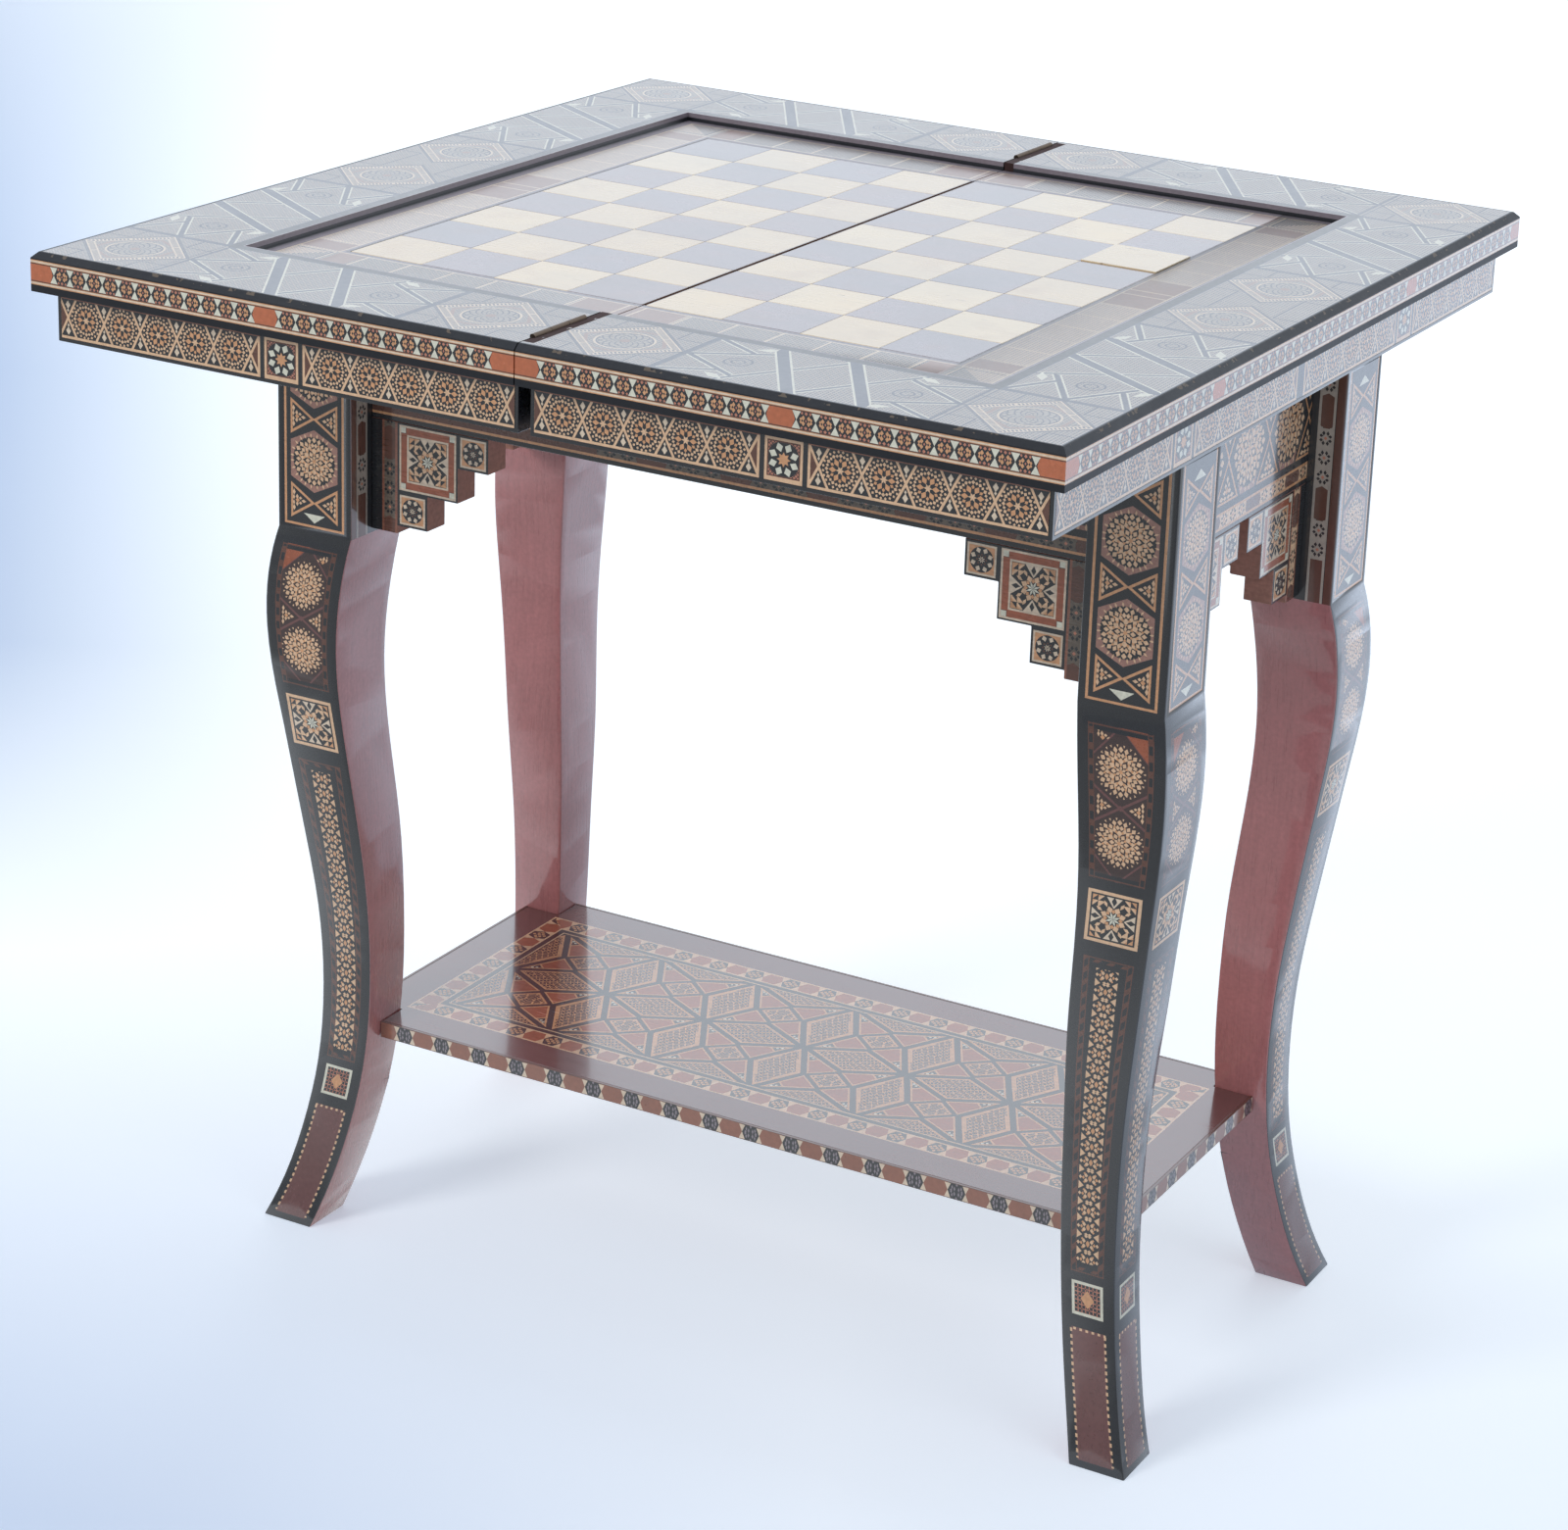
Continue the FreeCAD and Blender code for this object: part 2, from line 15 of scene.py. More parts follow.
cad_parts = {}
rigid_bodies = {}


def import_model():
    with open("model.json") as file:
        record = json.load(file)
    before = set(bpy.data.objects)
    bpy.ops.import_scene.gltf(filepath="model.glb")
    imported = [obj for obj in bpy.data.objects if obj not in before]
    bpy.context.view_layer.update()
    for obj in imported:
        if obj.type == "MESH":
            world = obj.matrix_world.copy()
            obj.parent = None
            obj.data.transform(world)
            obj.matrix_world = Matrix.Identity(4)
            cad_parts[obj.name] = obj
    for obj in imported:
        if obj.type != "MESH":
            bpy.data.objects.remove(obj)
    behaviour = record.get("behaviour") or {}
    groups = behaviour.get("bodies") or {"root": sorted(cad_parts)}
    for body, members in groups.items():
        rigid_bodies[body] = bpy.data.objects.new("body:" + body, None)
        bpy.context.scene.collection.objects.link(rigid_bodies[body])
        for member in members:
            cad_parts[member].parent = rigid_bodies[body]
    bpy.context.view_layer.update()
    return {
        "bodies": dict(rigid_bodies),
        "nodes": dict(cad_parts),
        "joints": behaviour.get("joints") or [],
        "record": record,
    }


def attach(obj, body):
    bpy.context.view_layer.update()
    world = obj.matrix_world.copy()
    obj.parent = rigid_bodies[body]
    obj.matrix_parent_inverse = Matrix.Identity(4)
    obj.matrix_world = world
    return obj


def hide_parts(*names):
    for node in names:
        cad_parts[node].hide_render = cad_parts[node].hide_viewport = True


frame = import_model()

bl_info = {
    "name": "Inlaid game table",
    "version": (1, 0, 0),
    "blender": (4, 5, 0),
    "location": "View3D > Sidebar > Game Table",
    "description": "Dresses the folding game table with its star mosaic, wood and hardware",
    "category": "Object",
}

MM = 0.001
LEAVES = ("fixed", "folding")
ENDS = {"left": -1, "right": 1}
SIDES = {"front": -1, "back": 1}
SQUARE = 58.5
# base: its middle in X, then distances from the middle
BASE_MIDDLE = 10.0
LEG_X, LEG_Y = 323, 140
APRON_X, APRON_Y = 329, 146  # past the core of the aprons, on their outer faces
SHELF_X, SHELF_Y, SHELF_TOP, SHELF_EDGE = 323, 135, 161, 155.2
# levels on a leg: foot of its block, and middles of the panels below
BLOCK_FOOT, KNEE, STAR_SQUARE, LONG_PANEL, SMALL_SQUARE = 554.0, 489, 406.6, 253, 113
STRING = 10.6  # from a leg's edge to the string round its panels
# slab and box of a leaf: where they start and end from the seam, and their levels
SLAB_START, REACH, WELL, TOP, SLAB_FOOT = 0.5, 385, 285, 793, 766
BOX_START, BOX, BOX_FOOT, BOX_WALL = 4.5, 373, 731, 14
STRIP, BAND = (771, 788), (734, 763)  # levels of the inlay on the slab's and on the box's edges
RAIL = 336.5  # centre line of the slab's rails
HINGE_AT = 335
COAT_IOR = 1.6
SMOOTH = math.radians(35)
TOUCH = 0.0006
# the photograph's camera
EYE, FORWARD, UP = (1.32596, -2.36668, 1.44052), (-0.41876, 0.85633, -0.30222), (-0.17900, 0.24843, 0.95197)
LENS, SENSOR, SHIFT = 90.08, 36.0, (-0.1502, -0.1527)


def colour(name, description, rgb):
    return bpy.props.FloatVectorProperty(
        name=name, description=description, subtype="COLOR", size=3, min=0, max=1, default=rgb)


def length(name, description, metres):
    return bpy.props.FloatProperty(
        name=name, description=description, unit="LENGTH", min=0, default=metres)


class InlayColours(bpy.types.PropertyGroup):
    """Colours of the woods and bone in the mosaic."""

    cream: colour("Cream", "Bone and pale wood of the stars", (0.70, 0.56, 0.42))
    amber: colour("Amber", "Orange wood of petals and stringing", (0.62, 0.31, 0.15))
    red: colour("Red", "Red blocks between the stars", (0.33, 0.085, 0.035))
    brown: colour("Brown", "Walnut ground of the hexagons", (0.115, 0.042, 0.026))
    black: colour("Black", "Ebonised ground", (0.012, 0.013, 0.017))
    bone: colour("Bone", "Light playing squares", (0.86, 0.66, 0.38))
    pale: colour("Pale", "Greenish bone of the hourglasses and kites", (0.68, 0.66, 0.54))
    rosy: colour("Rosy", "Pink and orange small pieces", (0.50, 0.19, 0.12))
    olive: colour("Olive", "Dull small pieces in the shade", (0.13, 0.10, 0.075))
    wood: colour("Fruit wood", "Ground of the shelf's panels", (0.34, 0.13, 0.055))
    dusk: colour("Dusk", "Blue-black bands", (0.045, 0.055, 0.085))
    dark: colour("Dark brown", "Ground of the knees' panels", (0.045, 0.022, 0.02))
    block: colour("Blocks", "Red-brown blocks of the shelf's edge", (0.27, 0.10, 0.06))
    ash: colour("Ash", "Grey-white pieces of the top", (0.41, 0.36, 0.31))
    clay: colour("Clay", "Faded pink blocks of the top", (0.30, 0.19, 0.16))
    veneer: colour("Veneer", "Plain border of the shelf and panels of the feet", (0.145, 0.056, 0.052))
    coral: colour("Coral", "Bright blocks of the slab's edge", (0.48, 0.13, 0.05))
    walnut: colour("Walnut", "Bare ends of the brackets", (0.34, 0.17, 0.13))
    honey: colour("Honey wood", "Pieces of the legs' rosettes", (0.72, 0.46, 0.28))
    slate: colour("Dark squares", "Dark playing squares", (0.24, 0.20, 0.23))
    mahogany: colour("Mahogany", "Plain varnished wood", (0.42, 0.155, 0.155))
    beech: colour("Carcass", "Plain wood inside", (0.36, 0.22, 0.12))
    brass: colour("Brass", "Hinges and pins, gone dark", (0.13, 0.095, 0.07))
    steel: colour("Steel", "Swivel hardware", (0.42, 0.42, 0.43))


class EdgeSizes(bpy.types.PropertyGroup):
    """Sizes of the worn edges."""

    arris: length("Arris", "Rounding of the sharp edges", 0.0007)
    soft: length("Soft edge", "Rounding of the legs", 0.0011)
    proud: length("Proud square", "How far the loose square stands up", 0.0008)


class StageLook(bpy.types.PropertyGroup):
    """Colours and lamps of the stage."""

    floor: colour("Floor", "Floor and backdrop", (0.85, 0.89, 0.93))
    white: colour("White", "Glow of the floor in the middle", (0.92, 0.97, 1.0))
    glint: colour("Glint", "Floor behind the table as its sides mirror it", (0.74, 0.84, 1.0))
    shade: colour("Shade", "Glow of the floor at the left and in front", (0.03, 0.14, 0.38))
    air: colour("Air", "Colour of the even light", (0.84, 0.91, 1.0))
    key: bpy.props.FloatProperty(
        name="Key lamp", description="Strength of the soft lamp in front", unit="POWER", default=46)
    side: bpy.props.FloatProperty(
        name="Side lamp", description="Strength of the lamp at the right", unit="POWER", default=9.9)
    back: bpy.props.FloatProperty(
        name="Back lamp", description="Strength of the lamp behind", unit="POWER", default=22)
    glow: bpy.props.FloatProperty(
        name="Floor white", description="How much whiter the floor is seen", subtype="FACTOR", default=0.54)
    sheen: bpy.props.FloatProperty(
        name="Sheen", description="Extra light of the floor in reflections behind", default=1.15)
    sky: bpy.props.FloatProperty(
        name="Sky", description="Strength of the even light", subtype="FACTOR", default=0.52)
    veil: bpy.props.FloatProperty(
        name="Veil", description="Extra light of the backdrop in reflections", default=0.25)


class Field:
    """A value that varies over the surface, with the usual signs of arithmetic."""

    def __init__(self, socket):
        self.socket, self.tree = socket, socket.id_data

    def math(self, operation, *others):
        values = dict(enumerate((self, *others)))
        return Field(add_node(self.tree, "ShaderNodeMath", operation=operation, inputs=values).outputs[0])

    def __rsub__(self, other): return (self * -1) + other
    def __abs__(self): return self.math("ABSOLUTE")
    def __invert__(self): return (self * -1) + 1


for sign, operation in {
        "add": "ADD", "radd": "ADD", "sub": "SUBTRACT", "mul": "MULTIPLY", "rmul": "MULTIPLY",
        "truediv": "DIVIDE", "mod": "FLOORED_MODULO", "lt": "LESS_THAN", "gt": "GREATER_THAN",
        "and": "MULTIPLY", "or": "MAXIMUM"}.items():
    setattr(Field, f"__{sign}__", lambda self, other, operation=operation: self.math(operation, other))


def near(value, place, width):
    """1 where value is within half of width from place."""
    return abs(value - place) < width / 2


def choose(mask, first, second):
    """first where the mask is 1, else second."""
    return second + (first - second) * mask


def ramp(value, low, high):
    """0 below low, 1 above high and even between."""
    return ((value - low) / (high - low)).math("MAXIMUM", 0).math("MINIMUM", 1)


def repeat(value, pitch):
    """Distance from the nearest whole multiple of the pitch."""
    return abs((value + pitch / 2) % pitch - pitch / 2)


def distance(x, y):
    """Distance from the middle."""
    return (x * x + y * y).math("SQRT")


def folded(x, y):
    """The larger and the smaller distance from two crossing lines."""
    x, y = abs(x), abs(y)
    return x | y, x.math("MINIMUM", y)


def any_of(*masks):
    """1 where at least one of the masks is."""
    whole = masks[0]
    for mask in masks[1:]:
        whole = whole | mask
    return whole


def lozenge(x, y, at_x, at_y, half_x, half_y):
    """1 inside a diamond about a point."""
    return (abs(x - at_x) / half_x + abs(y - at_y) / half_y) < 1


def gems(x, y, *shapes):
    """1 inside any of the diamonds, each given by its middle and its half widths."""
    return any_of(*(lozenge(x, y, *shape) for shape in shapes))


def lines(value, *places):
    """1 on any of the lines, each given by its middle and its width."""
    return any_of(*(near(value, *place) for place in places))


def petal(wedge, reach, degrees, half_out, half_wide):
    """A diamond in a wedge, pointing away from the middle."""
    turn = math.radians(degrees)
    out = wedge[0] * math.cos(turn) + wedge[1] * math.sin(turn)
    wide = wedge[1] * math.cos(turn) - wedge[0] * math.sin(turn)
    return lozenge(out, wide, reach, 0, half_out, half_wide)


def rgba(name):
    """A colour of the settings, with its alpha."""
    return (*getattr(bpy.context.scene.inlay_colours, name), 1.0)


def feed(socket, value):
    """Link a field or an output to an input, or set a number or a named colour on it."""
    value = value.socket if isinstance(value, Field) else value
    if isinstance(value, bpy.types.NodeSocket):
        socket.id_data.links.new(value, socket)
    else:
        socket.default_value = rgba(value) if isinstance(value, str) else value


def add_node(tree, kind, inputs=None, **settings):
    """A node with its settings and its inputs' values or links."""
    node = tree.nodes.new(kind)
    for name, value in settings.items():
        setattr(node, name, value)
    for name, value in (inputs or {}).items():
        feed(node.inputs[name], value)
    return node


def paint(ground, *layers):
    """Lay colours over a ground, each where its mask is 1."""
    for mask, over in layers:
        mix = add_node(mask.tree, "ShaderNodeMix", data_type="RGBA", inputs={0: mask, 6: ground, 7: over})
        ground = mix.outputs[2]
    return ground


def pieces(masks, where=None, inks=("honey", "amber")):
    """Layers for the light and the warm pieces of a mosaic, kept to where a mask is 1."""
    return [(mask if where is None else mask & where, ink) for mask, ink in zip(masks, inks)]


def split(vector):
    """The three parts of a vector as fields."""
    node = add_node(vector.id_data, "ShaderNodeSeparateXYZ", inputs={0: vector})
    return [Field(part) for part in node.outputs]


def object_place(tree):
    """Object coordinates as one vector."""
    return tree.nodes.new("ShaderNodeTexCoord").outputs["Object"]


def noise(tree, vector, scale, detail, roughness=0.5):
    """A noise texture as a field."""
    return Field(add_node(tree, "ShaderNodeTexNoise", inputs={
        "Vector": vector, "Scale": scale, "Detail": detail, "Roughness": roughness}).outputs[0])


def stretched(tree, along):
    """Object coordinates drawn out by a factor for each axis."""
    factors = {0: object_place(tree), 1: along}
    return add_node(tree, "ShaderNodeVectorMath", operation="MULTIPLY", inputs=factors).outputs[0]


def pattern(title, outputs=("Colour",), **inputs):
    """Make a drawing a shader group with named inputs, built once and placed at every call."""
    def build(draw):
        tree = bpy.data.node_groups.new(title, "ShaderNodeTree")
        for name, default in inputs.items():
            named = isinstance(default, str)
            socket = tree.interface.new_socket(
                name, in_out="INPUT", socket_type="NodeSocketColor" if named else "NodeSocketFloat")
            socket.default_value = rgba(default) if named else default
        for name in outputs:
            kind = "NodeSocketColor" if name == "Colour" else "NodeSocketFloat"
            tree.interface.new_socket(name, in_out="OUTPUT", socket_type=kind)
        way_in, way_out = tree.nodes.new("NodeGroupInput"), tree.nodes.new("NodeGroupOutput")
        drawn = draw(*(Field(way_in.outputs[name]) for name in inputs))
        for name, value in zip(outputs, drawn if isinstance(drawn, tuple) else (drawn,)):
            feed(way_out.inputs[name], value)
        return tree

    def wrap(draw):
        def placed(*values, tree=None):
            group = bpy.data.node_groups.get(title) or build(draw)
            tree = tree or next(value.tree for value in values if isinstance(value, Field))
            node = add_node(tree, "ShaderNodeGroup", node_tree=group, inputs=dict(zip(inputs, values)))
            found = [Field(output) for output in node.outputs]
            return found if len(found) > 1 else found[0]
        return placed
    return wrap


def rosette(title, folds, light, warm):
    """A round rosette with masks of its light and warm pieces, in shares of its radius, and of its disc."""
    @pattern(title, outputs=("Light", "Warm", "Disc"), X=0, Y=0, Radius=10)
    def draw(x, y, radius):
        far = distance(x, y)
        turn = y.math("ARCTAN2", x).math("PINGPONG", math.pi / folds)
        wedge = far / radius * turn.math("COSINE"), far / radius * turn.math("SINE")
        return *(any_of(*(petal(wedge, *piece) for piece in ring)) for ring in (light, warm)), far < radius
    return draw


small_rose = rosette("Small rosette", 6, light=(
    (0.11, 0, 0.12, 0.055), (0.74, 0, 0.10, 0.10), (0.74, 30, 0.11, 0.10), (0.72, 15, 0.085, 0.085),
    (0.93, 7.5, 0.08, 0.075), (0.93, 22.5, 0.08, 0.075)), warm=((0.42, 0, 0.21, 0.145), (0.51, 30, 0.11, 0.09)))
large_rose = rosette("Large rosette", 6, light=(
    (0.14, 30, 0.10, 0.06), (0.29, 0, 0.11, 0.09), (0.40, 28, 0.125, 0.10), (0.54, 8, 0.11, 0.085),
    (0.62, 23, 0.10, 0.085), (0.71, 0, 0.11, 0.085), (0.81, 14, 0.12, 0.09), (0.83, 29, 0.105, 0.085),
    (1.0, 6, 0.10, 0.04), (1.0, 22, 0.10, 0.04)),
    warm=((0.0, 0, 0.09, 0.09), (0.27, 30, 0.06, 0.055), (0.46, 14, 0.07, 0.06), (0.66, 12, 0.055, 0.055)))
square_star = rosette("Square star", 8, light=((0.70, 22.5, 0.27, 0.22),),
                      warm=((0.20, 0, 0.22, 0.11), (0.10, 22.5, 0.14, 0.12)))
circle_rose = rosette("Circle rosette", 8, light=((0.76, 22.5, 0.23, 0.21), (0.16, 22.5, 0.14, 0.04)),
                      warm=((0.38, 0, 0.10, 0.10),))


@pattern("Fine mosaic", outputs=("Light", "Warm"), First=0, Second=0, Pitch=5)
def chips(a, b, pitch):
    """Light and warm masks of a fine mosaic laid out on two directions."""
    far = pitch / 2
    x, y = abs(a % pitch - far), abs(b % pitch - far)
    wide = pitch * 0.38
    warm = lozenge(x, y, far, 0, pitch * 0.17, pitch * 0.17)
    return gems(x, y, (0, 0, wide, wide), (far, far, wide, wide)), warm


@pattern("Face place", outputs=("X", "Y", "Z", "Facing X", "Facing Y", "Facing Z"), Scale=1000)
def face_place(scale):
    """Object coordinates in millimetres and which way the surface faces."""
    spot = scale.tree.nodes.new("ShaderNodeTexCoord").outputs
    facing = (abs(part) > 0.72 for part in split(spot["Normal"]))
    return *(part * scale for part in split(spot["Object"])), *facing


def slab_strip(along, level, middle, start):
    """Hourglasses and stars between two strings, with red blocks."""
    pitch = 13.5
    away = abs(along - middle) - 10.95
    high = abs(level - sum(STRIP) / 2)
    off = repeat(away, pitch)
    star = pitch / 2 - off
    inside = high < 5.6
    red_block = any_of(away < (high * -0.35 - 0.9), along > (high * 0.35 + 366.4),
                       along < (start - high * 0.35))
    glass = (off < (high * 0.54)) & ~red_block
    warm = gems(star, high, (1.9, 1.7, 1.3, 1.7), (3.6, 0.9, 0.9, 1.2))
    rosy = gems(star, high, (0, 4.5, 1.2, 1.2), (2.9, 4.6, 0.9, 1.0), (0, 0, 0.6, 1.0))
    return paint("black", (rosy & inside, "rosy"), (warm & inside, "amber"), (red_block & inside, "coral"),
                 (glass & inside, "pale"), (near(high, 6.0, 0.9), "brown"), (near(high, 7.5, 2.2), "amber"),
                 (near(high, 7.3, 1.1), "cream"))


def box_band(along, level):
    """Framed rows of rosettes between crossed lines, with a star square halfway."""
    pitch, row_length, end_piece = 30.2, 166, 7.5
    away = abs(along - (BOX_START + BOX) / 2)
    rise = level - sum(BAND) / 2
    high = abs(rise)
    row = away - 17
    cross = repeat(row - end_piece, pitch)
    *rose, disc = small_rose(pitch / 2 - cross, rise, 12.8)
    above = cross < (high * 0.52)
    heart = gems(cross, high, (0, 9.0, 2.0, 2.9), (0, 5.2, 0.9, 1.3))
    endwood = ((row < end_piece) | (row > row_length - end_piece)) & ~above
    rim = any_of(lines(row, (0.9, 1.8), (row_length - 0.9, 1.8)), level < BAND[0] + 1.8)
    # The top string is drawn in the brown of the blocks rather than honey: painted shade under the slab's overhang.
    field = paint("black", *pieces(rose, disc & ~above), (endwood, "brown"), (above & heart, "cream"),
                  ((abs(cross - high * 0.52) < 0.95) | rim, "honey"), (level > BAND[1] - 1.8, "block"))
    in_row = (row > 0) & (row < row_length)
    *star, disc = square_star(away, rise, 11.6)
    square = paint("black", (chips(away, high, 2.6)[0] & ~disc, "rosy"), *pieces(star, inks=("pale", "amber")),
                   (near(away | high, 11.2, 0.9), "brown"), ((away | high) > 11.7, "honey"))
    return paint("black", (in_row, field), (away < 13.5, square))


def triangle_star(x, y, size):
    """Light and warm masks of a small star in a triangle that points to -x; size scales it."""
    def at(cx, cy, a, b):
        return lozenge(x, y, cx * size, cy * size, a * size, b * size)
    light = any_of(at(-4.6, 0, 2.2, 1.3), at(1.2, 2.7, 1.3, 1.9), at(3.9, 5.8, 1.3, 2.4),
                   at(4.1, 2.0, 1.1, 1.9), at(-1.7, 1.9, 1.5, 1.2))
    return light, at(0.8, 0, 1.9, 1.9)


@pattern("Crossed hexagons", Across=0, Along=0, Period=69, Half_width=30)
def crossed_hexagons(across, along, period, half):
    """Tall hexagons with rosettes between pairs of framed triangles; across is measured from the middle."""
    side = abs(across)
    scale = half / 20.5
    from_cross = repeat(along, period)
    rise = side * 0.63 + 0.5
    triangle = (from_cross < rise) & (side < half)
    inner = (from_cross < (rise - 2.2)) & (side < half - 1.7)
    mate = period / 2 - from_cross
    hexagon = (mate < (side * -0.48 + period / 2 - 8)) & (side < half)
    rose = large_rose(across, mate, half * 0.94)[:2]
    dark_disc = distance(across, mate) < half * 0.89
    return paint("black", (hexagon, "walnut"), (hexagon & dark_disc, "black"),
                 *pieces(rose, hexagon), (triangle, "amber"), (inner, "black"),
                 *pieces(triangle_star(side - half * 0.68, from_cross, scale), inner))


@pattern("Leg block", Across=0, Along=0)
def leg_block(across, along):
    """Framed panel of the leg's square block, measured from the block's foot."""
    first, period = 22.2, 63.0
    field = crossed_hexagons(across, along - first, period, 20.5)
    side = abs(across)
    from_end = abs(along - 89)
    past = (first - along) | (along - (first + period * 2))
    tip = lozenge(side, past, 0, 8.6, 9.2, 6.5) & (past > 8.6)
    clear = past > (side * 0.63 + 0.5)
    rim = any_of(near(side, 25.2, 2.0) & (from_end < 85.5), near(from_end, 84.6, 1.8) & (side < 26.2))
    return paint(field, (clear, "black"), (tip, "pale"), ((side | (from_end - 60.9)) > 24.2, "black"),
                 (rim, "amber"))


def star_strip(across, along, half):
    """Long narrow mosaic of small stars, light on black."""
    side = abs(across)
    step = repeat(along, 10.8)
    mate = 5.4 - step
    light = any_of(step < (side - 3.9) * 0.78, gems(side, mate, (2.6, 1.6, 1.3, 1.5), (6.4, 0, 1.1, 1.3)),
                   lozenge(side, step, 1.2, 0.6, 1.3, 1.1))
    warm = any_of(gems(side, mate, (0, 0.4, 1.3, 1.9), (4.4, 0.2, 0.9, 1.0)),
                  lozenge(side, step, 3.6, 2.6, 0.9, 0.9))
    return paint("black", *pieces((light, warm), side < half))


@pattern("Square panel", X=0, Y=0)
def star_panel(x, y):
    """Square star: black kites, a pinwheel in a ring of squares, and corners of half squares."""
    high, low = folded(x, y)
    fold_x, fold_y = (high - 6.6) % 4.7, (low - 6.6) % 4.7
    half_squares = (low > 6.6) & ((fold_x + fold_y) > 4.3) & (fold_x > 0.3) & (fold_y > 0.3)
    warm_half = half_squares & ((high + low) > 24.5)
    side = (low < ((high - 7.6) * 0.72)) & ~lozenge(high, low, 12.6, 0, 3.4, 1.9)
    ring = petal((high, low), 7.0, 22.5, 2.5, 2.2)
    pin = petal((high, low), 2.7, 22.5, 2.6, 0.8)
    warm = petal((high, low), 5.4, 0, 1.6, 1.5) | petal((high, low), 5.4, 45, 1.6, 1.5)
    outer = petal((high, low), 11.6, 30, 2.6, 1.2)
    return paint("black", (half_squares | outer, "honey"), (warm_half, "amber"), (side, "cream"),
                 (ring, "honey"), (warm, "amber"), (pin, "pale"))


def leg_shaft(across, along, half):
    """Panels down the curved part of a leg: along is the height above the floor."""
    side = abs(across)
    edge = half - side
    # knee: two rosettes between triangles, in a frame of short blocks
    above = along - KNEE
    high = abs(above)
    *rose, disc = large_rose(across, high - 25, 18.2)
    rise = abs(side - 1) * 0.66
    line = near(high - rise, 0.4, 2.0) | near(high + side * 1.02, 54.5, 1.8)
    star, top_star = (triangle_star(side - 12.6, at, 0.9) for at in (high, above - 45.5))
    corner = above > (side * -1.02 + 54.5)
    frame = near(edge, STRING, 4.2) | near(high, 51.6, 3.6)
    rails = near(edge, STRING, 4.2) & ~near(edge, STRING, 2.8) | near(high, 53.2, 0.9)
    dashes = near(edge, STRING, 3.0) & ((along % 10.5) < 4.6)
    knee = paint("dark", (line & (side < 20), "veneer"), *pieces(rose, disc & ~line),
                 *pieces(star, high < rise), (corner & (across < 0), "red"),  # torn on one side
                 *pieces(top_star, corner & (across > 0)), (frame, "black"), (rails | dashes, "brown"))
    # square with a star
    above = along - STAR_SQUARE
    box_far = side | abs(above)
    square = paint(star_panel(across * 0.94, above * 0.94), (box_far > 16.2, "black"),
                   (near(box_far, 18.7, 2.4), "honey"))
    # long panel
    strip = star_strip(across * 0.88, along * 0.88, 7.4)
    from_middle = abs(along - LONG_PANEL)
    dashed = (near(edge, STRING, 3.0) | near(from_middle, 119, 2.4)) & (((along + across) % 10.5) < 4.6)
    thin = any_of(lines(edge, (8.7, 0.8), (12.5, 0.8)), near(from_middle, 121.2, 0.9))
    long_panel = paint("black", (dashed | thin, "brown"), ((from_middle < 114) & (side < 8.5), strip))
    # small square and foot
    low = abs(along - SMALL_SQUARE)
    mosaic = any_of(*chips(across + along, across - along, 5.8))
    foot_far = side | low
    foot_square = paint("rosy", (mosaic, "black"), (lozenge(side, low, 0, 0, 5.2, 6.4), "amber"),
                        (foot_far > 9.9, "pale"))
    dots = any_of(near(edge, 7.6, 1.7) & ((along % 4.65) < 2.4),
                  near(along, 91, 1.7) & ((across % 4.65) < 2.0) & (edge > 7))
    foot_zone = (along < 92) & (along > 5) & (edge > 7.8)
    return paint("black", ((high < 54) & (edge > 8.4), knee), (box_far < 20, square),
                 ((from_middle < 121.8) & (edge > 8.2), long_panel), (foot_far < 12, foot_square),
                 (foot_zone, "veneer"), (dots & (along > 6) & (along < 92.5), "honey"))


@pattern("Flower strip", Across=0, Along=0, Half_width=6, Ground="olive", String="amber", Foot=-100)
def flower_strip(across, along, half, ground, string, foot):
    """Narrow strip of small flowers and plain blocks between two strings, plain below foot."""
    side = abs(across)
    place_in = along % 68
    step = abs((place_in - 25) % 14.33 - 7.17)
    petals = gems(step, side, (3.6, 1.6, 1.8, 1.3), (1.6, 3.4, 1.3, 1.6))
    plain_wood = any_of(abs(place_in - 12.5) < (side * -0.5 + 13.2), along < foot)
    strip = paint(ground, (petals, "black"), (lozenge(step, side, 0, 0, 1.4, 1.4), "rosy"),
                  (plain_wood, "brown"))
    return paint(strip, (side > half - 1.9, string))


def painted_shade_ground(facing_x):
    """Ground of the flower strips, with painted shade: duller olive on the front and back, which lie in the shade of
    the top, than honey on the ends.
    """
    return paint("olive", (facing_x, "honey"))


def bracket_face(away, level, ground):
    """Bracket seen from outside: away is the distance from the leg."""
    middle, half = 15.8, 6.6
    strip = flower_strip(away - middle, level, half, ground, "block")
    in_strip = near(away, middle, half * 2)
    big_x, big_y = away - 48.5, level - 615
    far, low = folded(big_x, big_y)
    corner = low > 18.4
    big = paint(star_panel(big_x, big_y), (far > 16.4, "cream"), (far > 17.8, "red"), (corner, "pale"),
                (corner & ((low < 18.9) | (far < 18.9)), "brown"), (far > 22.9, "cream"), (far > 24.4, "black"))
    tile_x, tile_y = repeat(away - 35.5, 26), repeat(level - 576, 26)
    *rose, disc = circle_rose(tile_x, tile_y, 9.0)
    tile_far = tile_x | tile_y
    tile = paint("amber", (disc, "black"), *pieces(rose, disc, ("cream", "brown")),
                 (tile_far > 9.6, "cream"), (tile_far > 11, "black"))
    return paint(tile, (far < 26, big), (away < 22.4, "black"), (in_strip, strip))


def apron_face(along, level, ground):
    """Apron seen from outside: a flower strip at the foot and lying hexagons above."""
    rise, half, period = level - 651, 6.2, 69.0
    strip = flower_strip(rise, along, half, ground, "amber")
    field = crossed_hexagons(level - 692.5, along - period / 2, period, 30.0)
    return paint(field, (rise < 9, "black"), (abs(rise) < half, strip), (level > 726, "black"))


